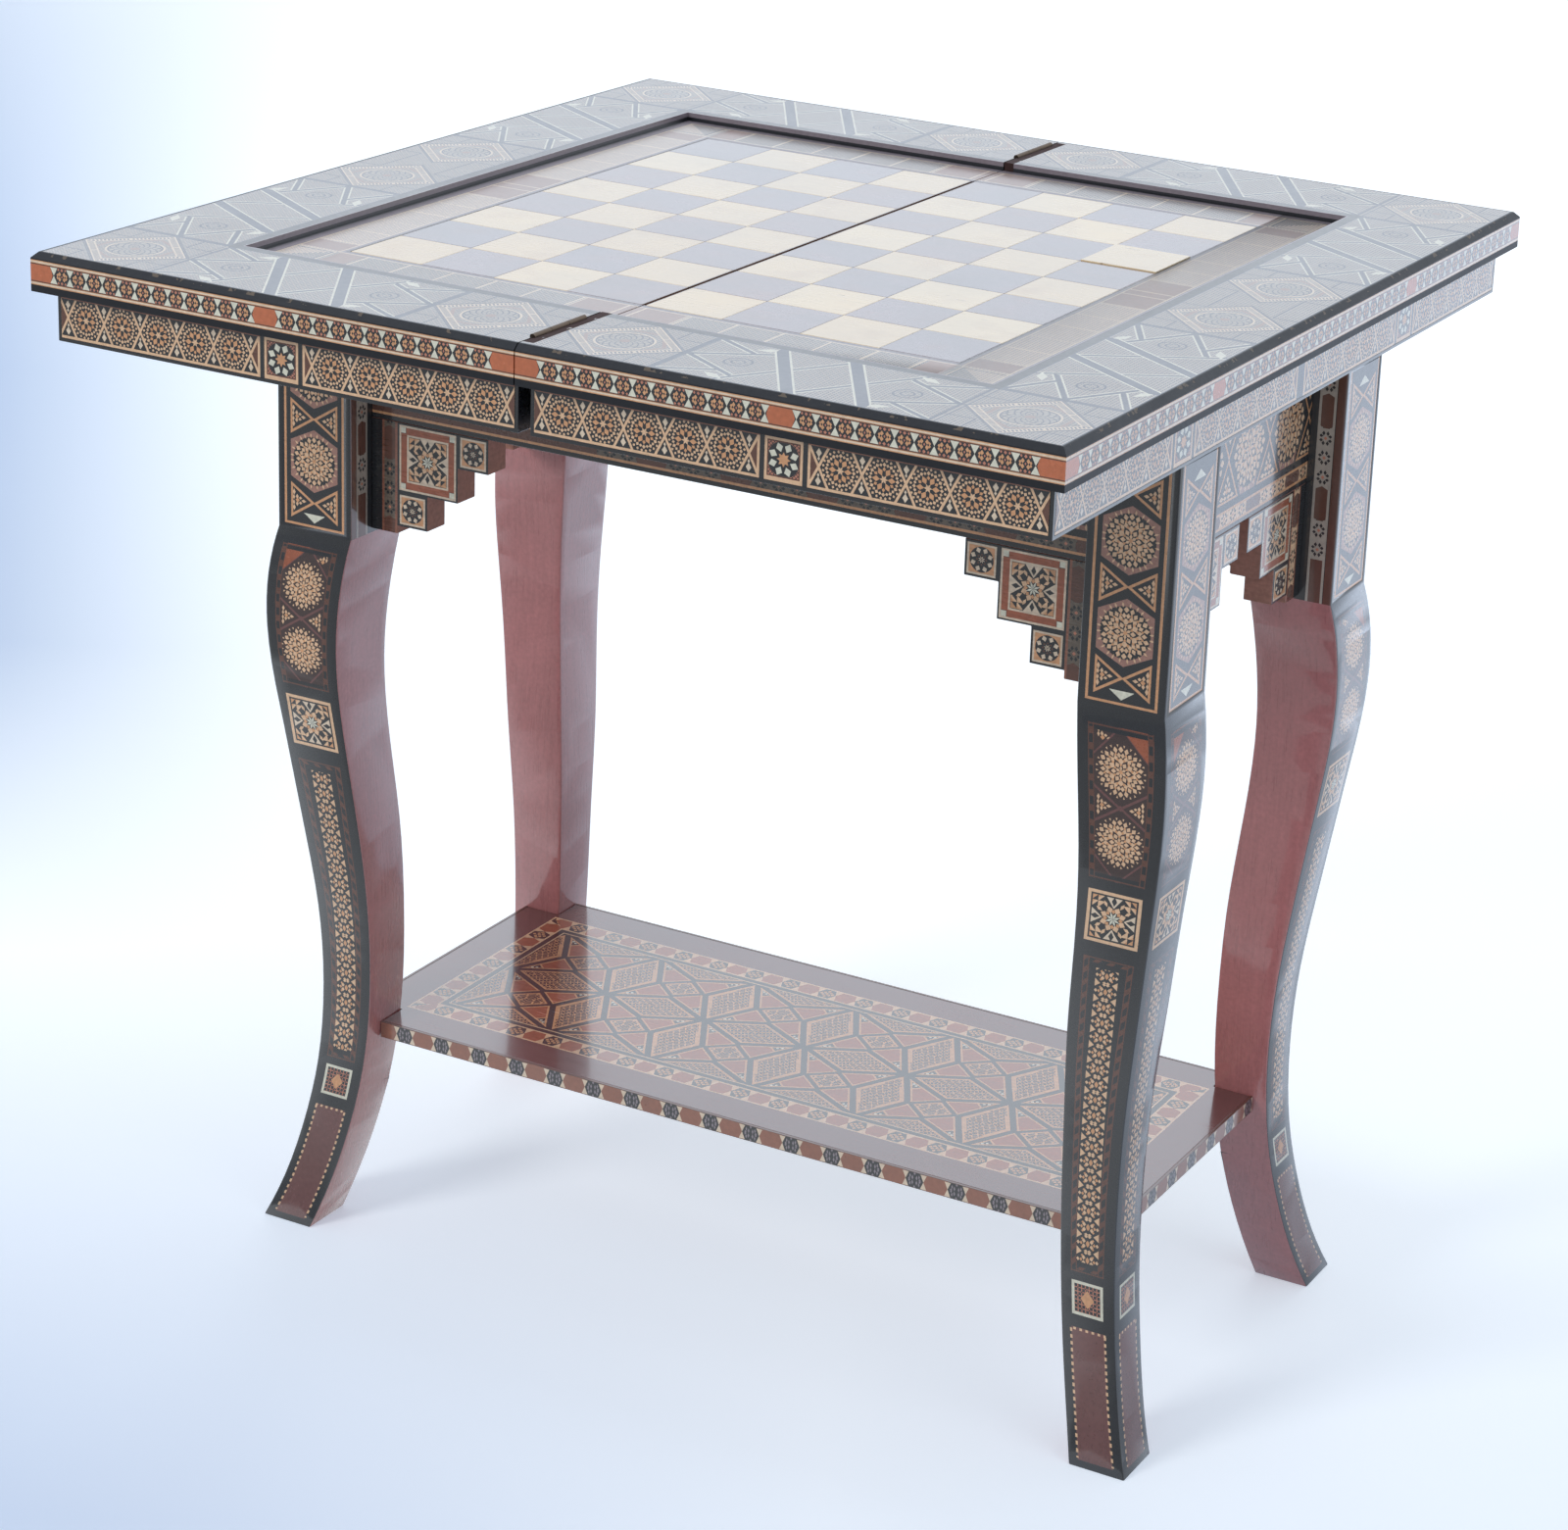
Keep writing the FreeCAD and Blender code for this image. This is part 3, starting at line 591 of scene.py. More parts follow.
def shelf_field(u, v):
    """Upright and lying lozenges between nodes, a small lozenge and four split triangles in each cell."""
    half_u, half_v = 44, 40  # of a cell
    p = abs(u % (half_u * 2) - half_u)
    q = abs(v % (half_v * 2) - half_v)
    upright = (half_u - p) / 20 + q / 36.5
    lying = p / 36.5 + (half_v - q) / 19
    small = p / 16 + q / 13.5
    panel = any_of(upright < 1, lying < 1, small < 1)
    rim = any_of(lines(upright, (0.95, 0.10), (1.32, 0.08)), lines(lying, (0.95, 0.10), (1.32, 0.08)),
                 lines(small, (0.92, 0.13), (1.42, 0.12)))
    ring = choose(upright < 1, upright * 17.5, choose(lying < 1, lying * 16.8, small * 10.3))
    mosaic = any_of(*chips(ring, choose(lying < 1, p, q), 4.6))
    broad = (p > half_u / 2) & near(upright, 0.9, 0.2) & (q < 19)
    band = any_of(near(upright, 1.14, 0.26), near(lying, 1.14, 0.26), near(small, 1.19, 0.32))
    toward = p / half_u + q / half_v
    flower = gems(p, q, (31.5, 29.5, 1.5, 1.5), (28.5, 27.5, 1.3, 1.3), (33.4, 32.4, 1.2, 1.2),
                  (29.6, 31.0, 1.2, 1.2), (32.0, 26.6, 1.2, 1.2))
    return paint("red", (toward > 1.22, "black"), (near(toward, 1.2, 0.05), "amber"), (flower, "pale"),
                 (panel, "amber"), (panel & mosaic, "dark"), (rim | broad, "amber"), (band, "black"))


def shelf_top(x, y):
    """Plain border, a strip of blocks and stars between lines, then the field of lozenges."""
    u = x - BASE_MIDDLE
    side, end = SHELF_Y - abs(y), SHELF_X - abs(u)
    rim = side.math("MINIMUM", end)
    step = repeat(choose(side < end, u, y), 32.8)
    across = abs(rim - 41.5)
    star = gems(step, across, (0, 0, 1.4, 2.0), (2.6, 2.0, 1.7, 1.5), (0, 4.6, 1.5, 1.8), (4.9, 0.2, 1.3, 1.8))
    hourglass = abs(step - 7.6) < (across * 0.42)
    strip = paint("red", (step < 7.6, "black"), (star & (step < 7.6), "amber"), (hourglass, "honey"))
    strings = lines(rim, (33.2, 1.5), (49.8, 1.5), (55.8, 1.2))
    return paint(shelf_field(u, y), (rim < 57, "black"), (near(rim, 41.5, 15), strip), (strings, "honey"))


def shelf_strip(along, level):
    """Edge of the shelf: red-brown blocks between hourglasses with a small dark star."""
    high = abs(level - SHELF_EDGE)
    step = repeat(along, 33.7)
    petals = gems(step, high, (1.7, 1.9, 0.8, 1.9), (3.6, 3.0, 0.7, 1.7), (4.3, 0.6, 0.9, 1.2),
                  (0, 5.2, 0.9, 1.3))
    glass = abs(step - 7.2) < (high * 0.44)
    return paint("block", (step < 7.2, "black"), ((step < 6.5) & petals, "slate"),
                 (glass & (high < 5.6), "cream"), (high > 5.9, "brown"))


def board_border(u, y):
    """Segmented mosaic strip round the playing squares, u from the seam."""
    wall = WELL - 0.2
    side, front = wall - u, wall - abs(y)
    from_wall = side.math("MINIMUM", front)
    ends = side < front
    along = choose(ends, abs(y), u)
    corner = (side | front) < 41
    ground = paint("dusk", (ends, "slate"))
    bright = paint("ash", (ends, "cream"))
    mosaic = chips(along + from_wall, along - from_wall, 5.2)
    cuts = near((along - 40.4) % 34.8, 0.8, 1.6) & (along < 216)
    red = any_of(along < 38.5, near(along, 228, 20)) & ~corner
    strip = paint(ground, *pieces(mosaic, inks=(bright, "clay")), (red, "clay"),
                  (any_of(cuts, lines(along, (241.5, 1.4), (38.9, 1.0))), "cream"),
                  (near(along, 243.6, 2.4) & ~corner, "dusk"),
                  (lines(from_wall, (11, 1.4), (44.6, 1.2)), "cream"))
    return paint(strip, (from_wall < 10, "black"), (near(from_wall, 6, 7), "slate"),
                 (from_wall > 45.4, "slate"), (near(from_wall, 48.2, 1.2), "black"))


def medallion(x, y):
    """Square tile of the frame: a ringed disc in a ladder set cornerwise, and corners of fine mosaic."""
    high, low = folded(x, y)
    across = high + low
    radius = distance(x, y)
    mosaic = chips(x + y, x - y, 5.2)
    rungs = near(across, 38.2, 5.4) & (((high - low) % 3.6) < 1.7)
    rails = lines(across, (34.8, 1.5), (41.6, 1.5))
    corner = any_of(across < 34, low > 24, across > 44)
    hexagon = (abs(x) * 0.87 + abs(y) * 0.5) | abs(y)
    specks = chips(radius, x.math("ARCTAN2", y) * 11, 5.2)[0]
    return paint("dusk", *pieces(mosaic, corner, ("ash", "clay")), (near(hexagon, 25, 2.6), "clay"),
                 (radius < 20, "cream"), (radius < 18.5, "dusk"), ((radius < 17.5) & specks, "ash"),
                 (radius < 3.4, "clay"), (near(across, 38.2, 8.4), "dusk"), (rails | rungs, "cream"),
                 (near(low, 24.2, 1.4) & (high > 24) | near(across, 44.8, 1.2), "dusk"))


def frame_top(along, across):
    """Marquetry of the slab's rails, along from the table's middle and across from the rail's centre line."""
    place_in = (abs(along) - 193.2) * along.math("SIGN")
    u, v = abs(place_in), abs(across)
    mosaic = chips(place_in + across, place_in - across, 5.2)
    zigzag = abs(v - abs(u / 26.6 - 1) * 42) * 0.53
    centre = u < 53.2
    wing = 95.8 - u
    wing_a = abs(v - wing * 0.62) * 0.85
    wing_b = abs(v - (wing * -0.56 + 42)) * 0.87
    thin = any_of(centre & (zigzag < 1.4), (wing < 48) & (wing_a < 1.6), (wing < 36) & (wing_b < 1.6))
    strings = any_of(centre & near(zigzag, 2.2, 1.1), (wing < 48) & near(wing_a, 2.5, 1.1),
                     (wing < 36) & near(wing_b, 2.5, 1.1))
    slant = abs(abs(place_in * 0.851 + across * 0.525) - 22.6)
    kite = lozenge(wing * 0.9 + v * 0.42, v * 0.9 - wing * 0.42, 49.5, 15.5, 9.5, 3.6)
    eye = lines(distance(wing - 36, v), (9, 1.6), (4.4, 1.6))
    panel = paint("dusk", *pieces(mosaic, inks=("ash", "clay")), (eye, "dusk"), (strings, "pale"),
                  (thin, "dusk"), (kite, "pale"), (centre & (slant < 5.2), "pale"), (centre & (slant < 3.8), "dusk"))
    far = abs(along)
    tile = medallion(far - choose(far > 193, RAIL, 50.5), across)
    return paint(panel, (u > 96, tile), (near(u, 98.0, 4.8), "dusk"), (near(v, 42.6, 1.2), "dusk"))


def only(piece):
    """Select just this piece and make it the active one."""
    bpy.ops.object.select_all(action="DESELECT")
    piece.select_set(True)
    bpy.context.view_layer.objects.active = piece


def block(name, low, high):
    """A primitive cube at its size and place, given in millimetres."""
    low, high = Vector(low) * MM, Vector(high) * MM
    bpy.ops.object.select_all(action="DESELECT")
    bpy.ops.mesh.primitive_cube_add(size=1, location=(low + high) / 2)
    piece = bpy.context.object
    piece.name = piece.data.name = name
    piece.dimensions = high - low
    bpy.ops.object.transform_apply(location=True, rotation=True, scale=True)
    return piece


def apply_modifier(piece, kind, **settings):
    """Add one modifier, set it and apply it."""
    only(piece)
    modifier = piece.modifiers.new(kind.title(), kind)
    for name, value in settings.items():
        setattr(modifier, name, value)
    bpy.ops.object.modifier_apply(modifier=modifier.name)
    return piece


def cut_away(piece, cutter):
    """Cut a helper block out of a piece and delete the helper."""
    apply_modifier(piece, "BOOLEAN", operation="DIFFERENCE", object=cutter, solver="EXACT")
    bpy.data.objects.remove(cutter)


def pick(piece, kind, chosen):
    """Open a piece for editing with just the chosen edges or faces selected."""
    only(piece)
    bpy.ops.object.mode_set(mode="EDIT")
    bpy.ops.mesh.select_mode(type=kind)
    bpy.ops.mesh.select_all(action="DESELECT")
    shape = bmesh.from_edit_mesh(piece.data)
    for part in (shape.edges if kind == "EDGE" else shape.faces):
        part.select = chosen(part)
    bmesh.update_edit_mesh(piece.data)


def weld(piece):
    """Merge loose triangles and drop the edges inside flat faces."""
    only(piece)
    bpy.ops.object.mode_set(mode="EDIT")
    bpy.ops.mesh.select_all(action="SELECT")
    bpy.ops.mesh.remove_doubles(threshold=1e-6)
    bpy.ops.mesh.dissolve_limited(angle_limit=math.radians(0.4))
    bpy.ops.object.mode_set(mode="OBJECT")
    return piece


def round_edges(piece, width, segments=2):
    """Round the sharp edges and smooth what lies between them."""
    apply_modifier(piece, "BEVEL", width=width, segments=segments, limit_method="ANGLE",
                   angle_limit=math.radians(30), use_clamp_overlap=True)
    only(piece)
    bpy.ops.object.shade_smooth_by_angle(angle=SMOOTH)
    return even_normals(piece)


def even_normals(piece):
    """Keep the shading of large faces flat up to their rounded edges."""
    return apply_modifier(piece, "WEIGHTED_NORMAL", keep_sharp=True, weight=80)


def copy_of(node, name):
    """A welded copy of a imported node's mesh as a piece of its own."""
    piece = bpy.data.objects.new(name, frame["nodes"][node].data.copy())
    bpy.context.scene.collection.objects.link(piece)
    piece.data.name = name
    piece.data.materials.clear()
    return weld(piece)


def mirrored(piece, name):
    """A copy with its own mesh, turned over in X about the seam."""
    twin = piece.copy()
    twin.data = piece.data.copy()
    twin.name = twin.data.name = name
    bpy.context.scene.collection.objects.link(twin)
    only(twin)
    bpy.ops.object.mode_set(mode="EDIT")
    bpy.ops.mesh.select_all(action="SELECT")
    bpy.ops.transform.mirror(constraint_axis=(True, False, False), orient_type="GLOBAL",
                             center_override=(0, 0, 0))
    bpy.ops.mesh.normals_make_consistent(inside=False)
    bpy.ops.object.mode_set(mode="OBJECT")
    bpy.ops.mesh.customdata_custom_splitnormals_clear()
    return even_normals(twin)


def place(piece, body, slot, nodes):
    """Attach a piece to what carries it and hide the nodes that it stands for; the slot is not used."""
    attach(piece, body)
    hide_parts(*nodes)


class Looks:
    """Materials by name, each made when it is first asked for."""

    made = {}

    @classmethod
    def get(cls, name):
        if name not in cls.made:
            material = bpy.data.materials.new(name)
            material.use_nodes = True
            cls.made[name] = material
            MATERIALS[name](material.node_tree.nodes["Principled BSDF"])
        return cls.made[name]


def wear(piece, *names):
    """Give a piece its materials and keep which face has which."""
    kept = [face.material_index for face in piece.data.polygons]
    piece.data.materials.clear()
    for name in names:
        piece.data.materials.append(Looks.get(name))
    piece.data.polygons.foreach_set("material_index", kept)
    return piece


def dress_node(node, name):
    """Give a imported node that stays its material."""
    thing = frame["nodes"][node]
    if not thing.data.materials:
        thing.data.materials.append(Looks.get(name))
    for held in thing.material_slots:
        held.link = "OBJECT"
        held.material = Looks.get(name)


@pattern("Aged surface", outputs=("Tone", "Dullness", "Height"),
         Grain=0.5, Stain=0.5, Along_X=60, Along_Y=60, Along_Z=60)
def aged(grain, stain, *along):
    """Variation of the small pieces, fibres along one axis, stains and dull spots."""
    tree = grain.tree
    spot = object_place(tree)
    stretch = add_node(tree, "ShaderNodeCombineXYZ", inputs=dict(enumerate(along))).outputs[0]
    fibre = noise(tree, stretched(tree, stretch), 1.0, 4.0, 0.6)
    chip = noise(tree, spot, 330.0, 1.0)
    cloud = noise(tree, spot, 9.0, 5.0, 0.6)
    tone = ((fibre - 0.5) * grain + 1) * ((chip - 0.5) * grain * 0.9 + 1) * ((cloud - 0.5) * stain + 1)
    return tone, (cloud - 0.5) * 0.35 + (fibre - 0.5) * 0.25, fibre * 0.6 + chip * 0.4


def lacquer(shader, shade, grain=0.35, stain=0.35, along=(250, 250, 250), rough=0.28, coat=0.8, bump=0.03,
            gloss=0.09, bare=None):
    """Finish a colour as old gloss lacquer over wood, worn off where bare is 1."""
    tree = shader.id_data
    tone, dull, height = aged(grain, stain, *along, tree=tree)
    toned = add_node(tree, "ShaderNodeHueSaturation", inputs={"Value": tone, "Color": shade})
    relief = add_node(tree, "ShaderNodeBump", inputs={"Height": height, "Strength": bump, "Distance": 0.0004})
    cover = coat if bare is None else bare * -coat + coat
    dull = dull if bare is None else dull + bare * 0.5
    for name, value in (
            ("Base Color", toned.outputs[0]), ("Normal", relief.outputs[0]), ("Roughness", dull + rough),
            ("Coat Weight", cover), ("Coat Roughness", gloss), ("Coat IOR", COAT_IOR)):
        feed(shader.inputs[name], value)


def plain(ink, **finish):
    """A material of one wood under the lacquer."""
    return lambda shader: lacquer(shader, ink, **finish)


def metal(ink, rough):
    """Aged metal with dull patches."""
    def make(shader):
        lacquer(shader, ink, grain=0.25, stain=0.8, rough=rough, coat=0.0, bump=0.05)
        shader.inputs["Metallic"].default_value = 1.0
    return make


def leg_place(tree):
    """Across, along and half width on a leg, from its UV maps in millimetres."""
    (across, along, _), (half, _, _) = (
        split(add_node(tree, "ShaderNodeUVMap", uv_map=layer).outputs[0]) for layer in ("Panel", "Panel width"))
    return across, along, half


def painted(draw, where=face_place, **finish):
    """A material whose colour, and mask of bare places if it has one, is drawn from the place on the piece."""
    def make(shader):
        drawn = draw(*where(tree=shader.id_data))
        shade, bare = drawn if isinstance(drawn, tuple) else (drawn, None)
        lacquer(shader, shade, bare=bare, **finish)
    return make


def leg_inlay(across, along, half):
    """Shaft below, block above."""
    block_part = leg_block(across, along - BLOCK_FOOT)
    return paint(leg_shaft(across, along, half), (along > BLOCK_FOOT - 0.5, block_part))


def leg_plates(x, y, z, fx, fy, fz):
    """Let-in plates of the blocks, measured from each block's middle."""
    return leg_block(choose(fx, abs(y) - LEG_Y, abs(x - BASE_MIDDLE) - LEG_X), z - BLOCK_FOOT)


def leg_inside(across, along, half):
    """Plain varnished wood, with a flower strip on the block beside the apron."""
    from_edge = across + half
    # The strip's ground and strings are muted ash: painted shade, as this face lies in the shade under the top.
    strip = flower_strip(from_edge - 13.5, along - BLOCK_FOOT - 61, 6.5, "ash", "ash", -29)
    block_part = paint("brown", (from_edge > 6.5, "black"), (near(from_edge, 13.5, 13), strip))
    return paint("mahogany", (along > BLOCK_FOOT, block_part))


def apron_inlay(x, y, z, fx, fy, fz):
    """Inlaid outer faces, plain wood behind."""
    outside = any_of(abs(y) > APRON_Y, abs(x - BASE_MIDDLE) > APRON_X) & any_of(fx, fy)
    # painted shade: the flower strip's ground is duller on the front and back faces than on the ends
    return paint("mahogany", (outside, apron_face(choose(fx, y, x - BASE_MIDDLE), z, painted_shade_ground(fx))))


def bracket_inlay(x, y, z, fx, fy, fz):
    """Inlaid outer face and bare ends."""
    out = abs(x - BASE_MIDDLE)
    away = choose(out > 307, 108 - abs(y), 291 - out)
    outside = any_of((abs(y) > APRON_Y) & fy, (out > APRON_X) & fx)
    # painted shade: the flower strip's ground is duller on the front and back faces than on the ends
    return paint("walnut", (outside, bracket_face(away, z, painted_shade_ground(fx)))), ~outside


def shelf_inlay(x, y, z, fx, fy, fz):
    """Inlaid field within a plain border."""
    border = 32.4
    inside = (abs(y) < SHELF_Y - border) & (abs(x - BASE_MIDDLE) < SHELF_X - border)
    return paint("veneer", ((z > SHELF_TOP) & fz & inside, shelf_top(x, y)))


def shelf_edge(x, y, z, fx, fy, fz):
    """Edging strips, measured from the middle of each side."""
    return shelf_strip(choose(fx, y, x - BASE_MIDDLE), z)


def edge_strip(x, y, z, fx, fy, fz):
    """Slab strip above, box band below, on the sides and the ends of a leaf."""
    along = choose(fx, abs(y), abs(x))
    strip = slab_strip(along, z, choose(fx, 165.5, 192.5), choose(fx, -1, 18.5))
    return paint(box_band(along, z), (z > SLAB_FOOT, strip))


def frame_inlay(x, y, z, fx, fy, fz):
    """Marquetry on the slab's top, with worn ebonised lipping and the dark strip beside the seam."""
    on_end = abs(x) > WELL + 6
    far = choose(on_end, x, y)
    top = frame_top(choose(on_end, y, x), far - far.math("SIGN") * RAIL)
    out = abs(x) | abs(y)
    scuffed = noise(x.tree, object_place(x.tree), 140.0, 3.0)
    rim = out > REACH - 5.5
    lip = any_of(rim, out < WELL + 8.5, z < TOP - 4, fx, fy)
    worn = near(out, REACH - 3.5, 2.5) & (scuffed > 0.62) & (z > TOP - 5)
    hinge_strip = near(x, 4, 8.6) & near(abs(y), 330, 92) & ((scuffed > 0.36) | near(x, 3, 5))
    wall = (out < WELL + 1) & (z > TOP - 3.6)
    bare = any_of(hinge_strip, worn * 0.6, rim * 0.75)
    return paint(top, (near(abs(y), WELL + 6.5, 4.0) & on_end, "dusk"), (lip, "black"), (wall, "slate"),
                 (worn, "olive"), (hinge_strip, "dark")), bare


def border_inlay(x, y, z, fx, fy, fz):
    """Strips round the board, the same on both leaves."""
    return board_border(abs(x), y)


def squares(name):
    """Playing squares: each its own tone, with a few short cracks and stains."""
    def draw(x, y, z, fx, fy, fz):
        tree = x.tree
        cell = add_node(tree, "ShaderNodeCombineXYZ", inputs={
            "X": (x / SQUARE).math("FLOOR"), "Y": (y / SQUARE).math("FLOOR"), "Z": 7.0})
        chance = Field(add_node(tree, "ShaderNodeTexWhiteNoise", noise_dimensions="3D",
                                inputs={"Vector": cell.outputs[0]}).outputs[0])
        crack = noise(tree, stretched(tree, (28, 260, 1)), 1.0, 2.0)
        spots = noise(tree, object_place(tree), 34.0, 3.0)
        return paint(name, (chance * 0.2, "wood"), ((spots - 0.52).math("MAXIMUM", 0) * 0.9, "wood"),
                     ((crack > 0.735) * 0.55, "brown"), (abs(x) < 2.3, "brown"))
    return draw


MATERIALS = {
    "leg inlay": painted(leg_inlay, leg_place),
    "leg plates": painted(leg_plates),
    "leg inside": painted(leg_inside, leg_place, stain=0.6, along=(300, 300, 14), rough=0.3, coat=1.0),
    "apron inlay": painted(apron_inlay),
    "bracket inlay": painted(bracket_inlay, grain=0.6, along=(60, 60, 400)),
    "shelf inlay": painted(shelf_inlay, grain=0.5, stain=0.5, along=(30, 260, 260), rough=0.22, coat=1.0),
    "shelf edge": painted(shelf_edge, rough=0.35),
    "frame inlay": painted(frame_inlay, rough=0.4, coat=0.85, gloss=0.16),
    "edge strip": painted(edge_strip, rough=0.24),
    "border inlay": painted(border_inlay, rough=0.4, coat=0.85, gloss=0.2),
    "ebonised": plain("black", grain=0.5, stain=0.4, rough=0.3),
    "bone squares": painted(squares("bone"), grain=0.05, stain=0.4, along=(40, 300, 300), rough=0.25, coat=1.0),
    "dark squares": painted(squares("slate"), grain=0.7, stain=1.1, along=(22, 130, 300), rough=0.22, coat=1.0),
    "carcass": plain("beech", grain=0.7, stain=0.5, along=(20, 300, 300), rough=0.6, coat=0.0),
    "brass": metal("brass", 0.55),
    "steel": metal("steel", 0.35),
}


def leg_outlines(end, depth):
    """How far the outer and the inner faces of a leg stand out at each height, for X and for Y."""
    signs = (ENDS[end], SIDES[depth])
    packed = frame["nodes"][f"leg_{depth}_{end}"].data
    profiles = {}
    for face in packed.polygons:
        for axis in (0, 1):
            facing = face.normal[axis] * signs[axis]
            if abs(facing) < 0.6:
                continue
            side = 1 if facing > 0 else -1
            profile = profiles.setdefault((axis, side), {})
            for index in face.vertices:
                co = packed.vertices[index].co
                if 0.5545 < co.z < 0.730:  # rims of the pockets
                    continue
                level, far = round(co.z, 4), co[axis] * signs[axis]
                profile[level] = (max if side > 0 else min)(profile.get(level, far), far)
    curves = {key: (np.array(sorted(profile)), np.array([profile[z] for z in sorted(profile)]))
              for key, profile in profiles.items()}
    return lambda z, axis: [float(np.interp(z, *curves[axis, side])) for side in (1, -1)]


def soften_leg(leg, outlines, end, depth, width):
    """Round the four long edges and the foot of a leg, and leave the let-in plates sharp."""
    signs = (ENDS[end], SIDES[depth])

    def at_corner(co):
        return all(min(abs(far - co[axis] * signs[axis]) for far in outlines(co.z, axis)) < TOUCH
                   for axis in (0, 1))

    def long_edge(edge):
        sharp = edge.is_manifold and edge.calc_face_angle() > math.radians(50)
        return sharp and all(at_corner(vert.co) for vert in edge.verts)
    pick(leg, "EDGE", long_edge)
    bpy.ops.mesh.bevel(offset=width, segments=2, affect="EDGES")
    bpy.ops.object.mode_set(mode="OBJECT")
    bpy.ops.object.shade_smooth_by_angle(angle=SMOOTH)


def map_leg(leg, outlines, end, depth):
    """Two UV maps on a leg, in millimetres: across and along, then half width.

    Faces that look outwards take the second material.
    """
    signs = (ENDS[end], SIDES[depth])
    panel = leg.data.uv_layers.new(name="Panel")
    width = leg.data.uv_layers.new(name="Panel width")
    for face in leg.data.polygons:
        looks = 0 if abs(face.normal.x) > abs(face.normal.y) else 1
        face.material_index = int(face.normal[looks] * signs[looks] > 0.3)
        axis = 1 - looks
        for corner in face.loop_indices:
            co = leg.data.vertices[leg.data.loops[corner].vertex_index].co
            outer, inner = outlines(co.z, axis)
            half = (outer - inner) / 2
            panel.data[corner].uv = ((outer - co[axis] * signs[axis] - half) / MM, co.z / MM)
            width.data[corner].uv = (half / MM, 0)


class TABLE_OT_legs(bpy.types.Operator):
    """Four curved legs with rounded edges"""

    bl_idname = "game_table.legs"
    bl_label = "Legs"

    def execute(self, context):
        for depth in SIDES:
            for end in ENDS:
                node = f"leg_{depth}_{end}"
                leg = copy_of(node, f"dressed_{node}")
                outlines = leg_outlines(end, depth)
                soften_leg(leg, outlines, end, depth, context.scene.edge_sizes.soft)
                map_leg(leg, outlines, end, depth)
                place(wear(leg, "leg inside", "leg inlay"), "base", "leg_wood", [node])
        dress_node("leg_panels", "leg plates")
        return {"FINISHED"}


class TABLE_OT_aprons(bpy.types.Operator):
    """Aprons and the stepped brackets below them"""

    bl_idname = "game_table.aprons"
    bl_label = "Aprons and brackets"

    def execute(self, context):
        arris = context.scene.edge_sizes.arris
        for side in ("front", "back", "left", "right"):
            place(wear(round_edges(copy_of(f"apron_{side}", f"dressed_apron_{side}"), arris), "apron inlay"),
                  "base", "apron_marquetry", [f"apron_{side}"])
            for end in (("left", "right") if side in SIDES else ("front", "back")):
                node = f"bracket_{side}_{end}"
                place(wear(round_edges(copy_of(node, f"dressed_{node}"), arris), "bracket inlay"),
                      "base", "apron_marquetry", [node])
        return {"FINISHED"}


class TABLE_OT_shelf(bpy.types.Operator):
    """Low shelf and its edging"""

    bl_idname = "game_table.shelf"
    bl_label = "Shelf"

    def execute(self, context):
        shelf = round_edges(copy_of("shelf", "dressed_shelf"), context.scene.edge_sizes.arris)
        place(wear(shelf, "shelf inlay"), "base", "shelf_marquetry", ["shelf"])
        dress_node("shelf_edging", "shelf edge")
        return {"FINISHED"}


class TABLE_OT_leaves(bpy.types.Operator):
    """Slab frame and shallow box of each leaf"""

    bl_idname = "game_table.leaves"
    bl_label = "Leaves"

    def execute(self, context):
        arris = context.scene.edge_sizes.arris
        slab = block("fixed_top_frame", (SLAB_START, -REACH, SLAB_FOOT), (REACH, REACH, TOP))
        chamfer_top(slab, TOP, 4)
        cut_away(slab, block("cutter", (-9, -WELL, SLAB_FOOT - 6), (WELL, WELL, TOP + 7)))
        for y in (-HINGE_AT, HINGE_AT):
            cut_away(slab, block("cutter", (-1, y - 30.3, 774.7), (1.7, y + 30.3, TOP + 7)))
        groove(slab, -1, REACH + 1, REACH, STRIP)
        round_edges(slab, arris)
        wear(slab, "frame inlay")
        case = block("fixed_case", (BOX_START, -BOX, BOX_FOOT), (BOX, BOX, SLAB_FOOT))
        first, last = BOX_START + BOX_WALL, BOX - BOX_WALL
        cut_away(case, block("cutter", (first, -last, BOX_FOOT - 11), (last, last, SLAB_FOOT + 14)))
        groove(case, BOX_START + 3, BOX - 3, BOX, BAND)
        round_edges(case, arris)
        wear(case, "ebonised")
        for leaf in LEAVES:
            frame_piece, case_piece = slab, case
            if leaf == "folding":
                frame_piece, case_piece = mirrored(slab, "folding_top_frame"), mirrored(case, "folding_case")
            place(frame_piece, f"{leaf}_leaf", "frame_marquetry",
                  [f"{leaf}_rail_{part}" for part in ("front", "back", "outer")])
            place(case_piece, f"{leaf}_leaf", "ebonised_wood",
                  [f"{leaf}_box_{part}" for part in ("front", "back", "outer", "inner")])
            dress_node(f"{leaf}_edge_inlay", "edge strip")
        return {"FINISHED"}


def groove(piece, start, end, far, levels):
    """Cut the ledges for the inlaid strips into the three free faces of a leaf, which stand at far."""
    low, high = levels
    for sign in (-1, 1):
        near_y, far_y = sorted((sign * (far - 2), sign * (far + 1)))
        cut_away(piece, block("cutter", (start, near_y, low), (end, far_y, high)))
    cut_away(piece, block("cutter", (far - 2, -end, low), (far + 1, end, high)))


def chamfer_top(piece, level, width):
    """Cut the free top edges of a leaf's slab at 45 degrees."""
    def free_edge(edge):
        ends = [vert.co / MM for vert in edge.verts]
        return all(abs(end.z - level) < 0.1 for end in ends) and not all(abs(end.x) < 1 for end in ends)
    pick(piece, "EDGE", free_edge)
    bpy.ops.mesh.bevel(offset=width * MM, segments=1, affect="EDGES")
    bpy.ops.object.mode_set(mode="OBJECT")


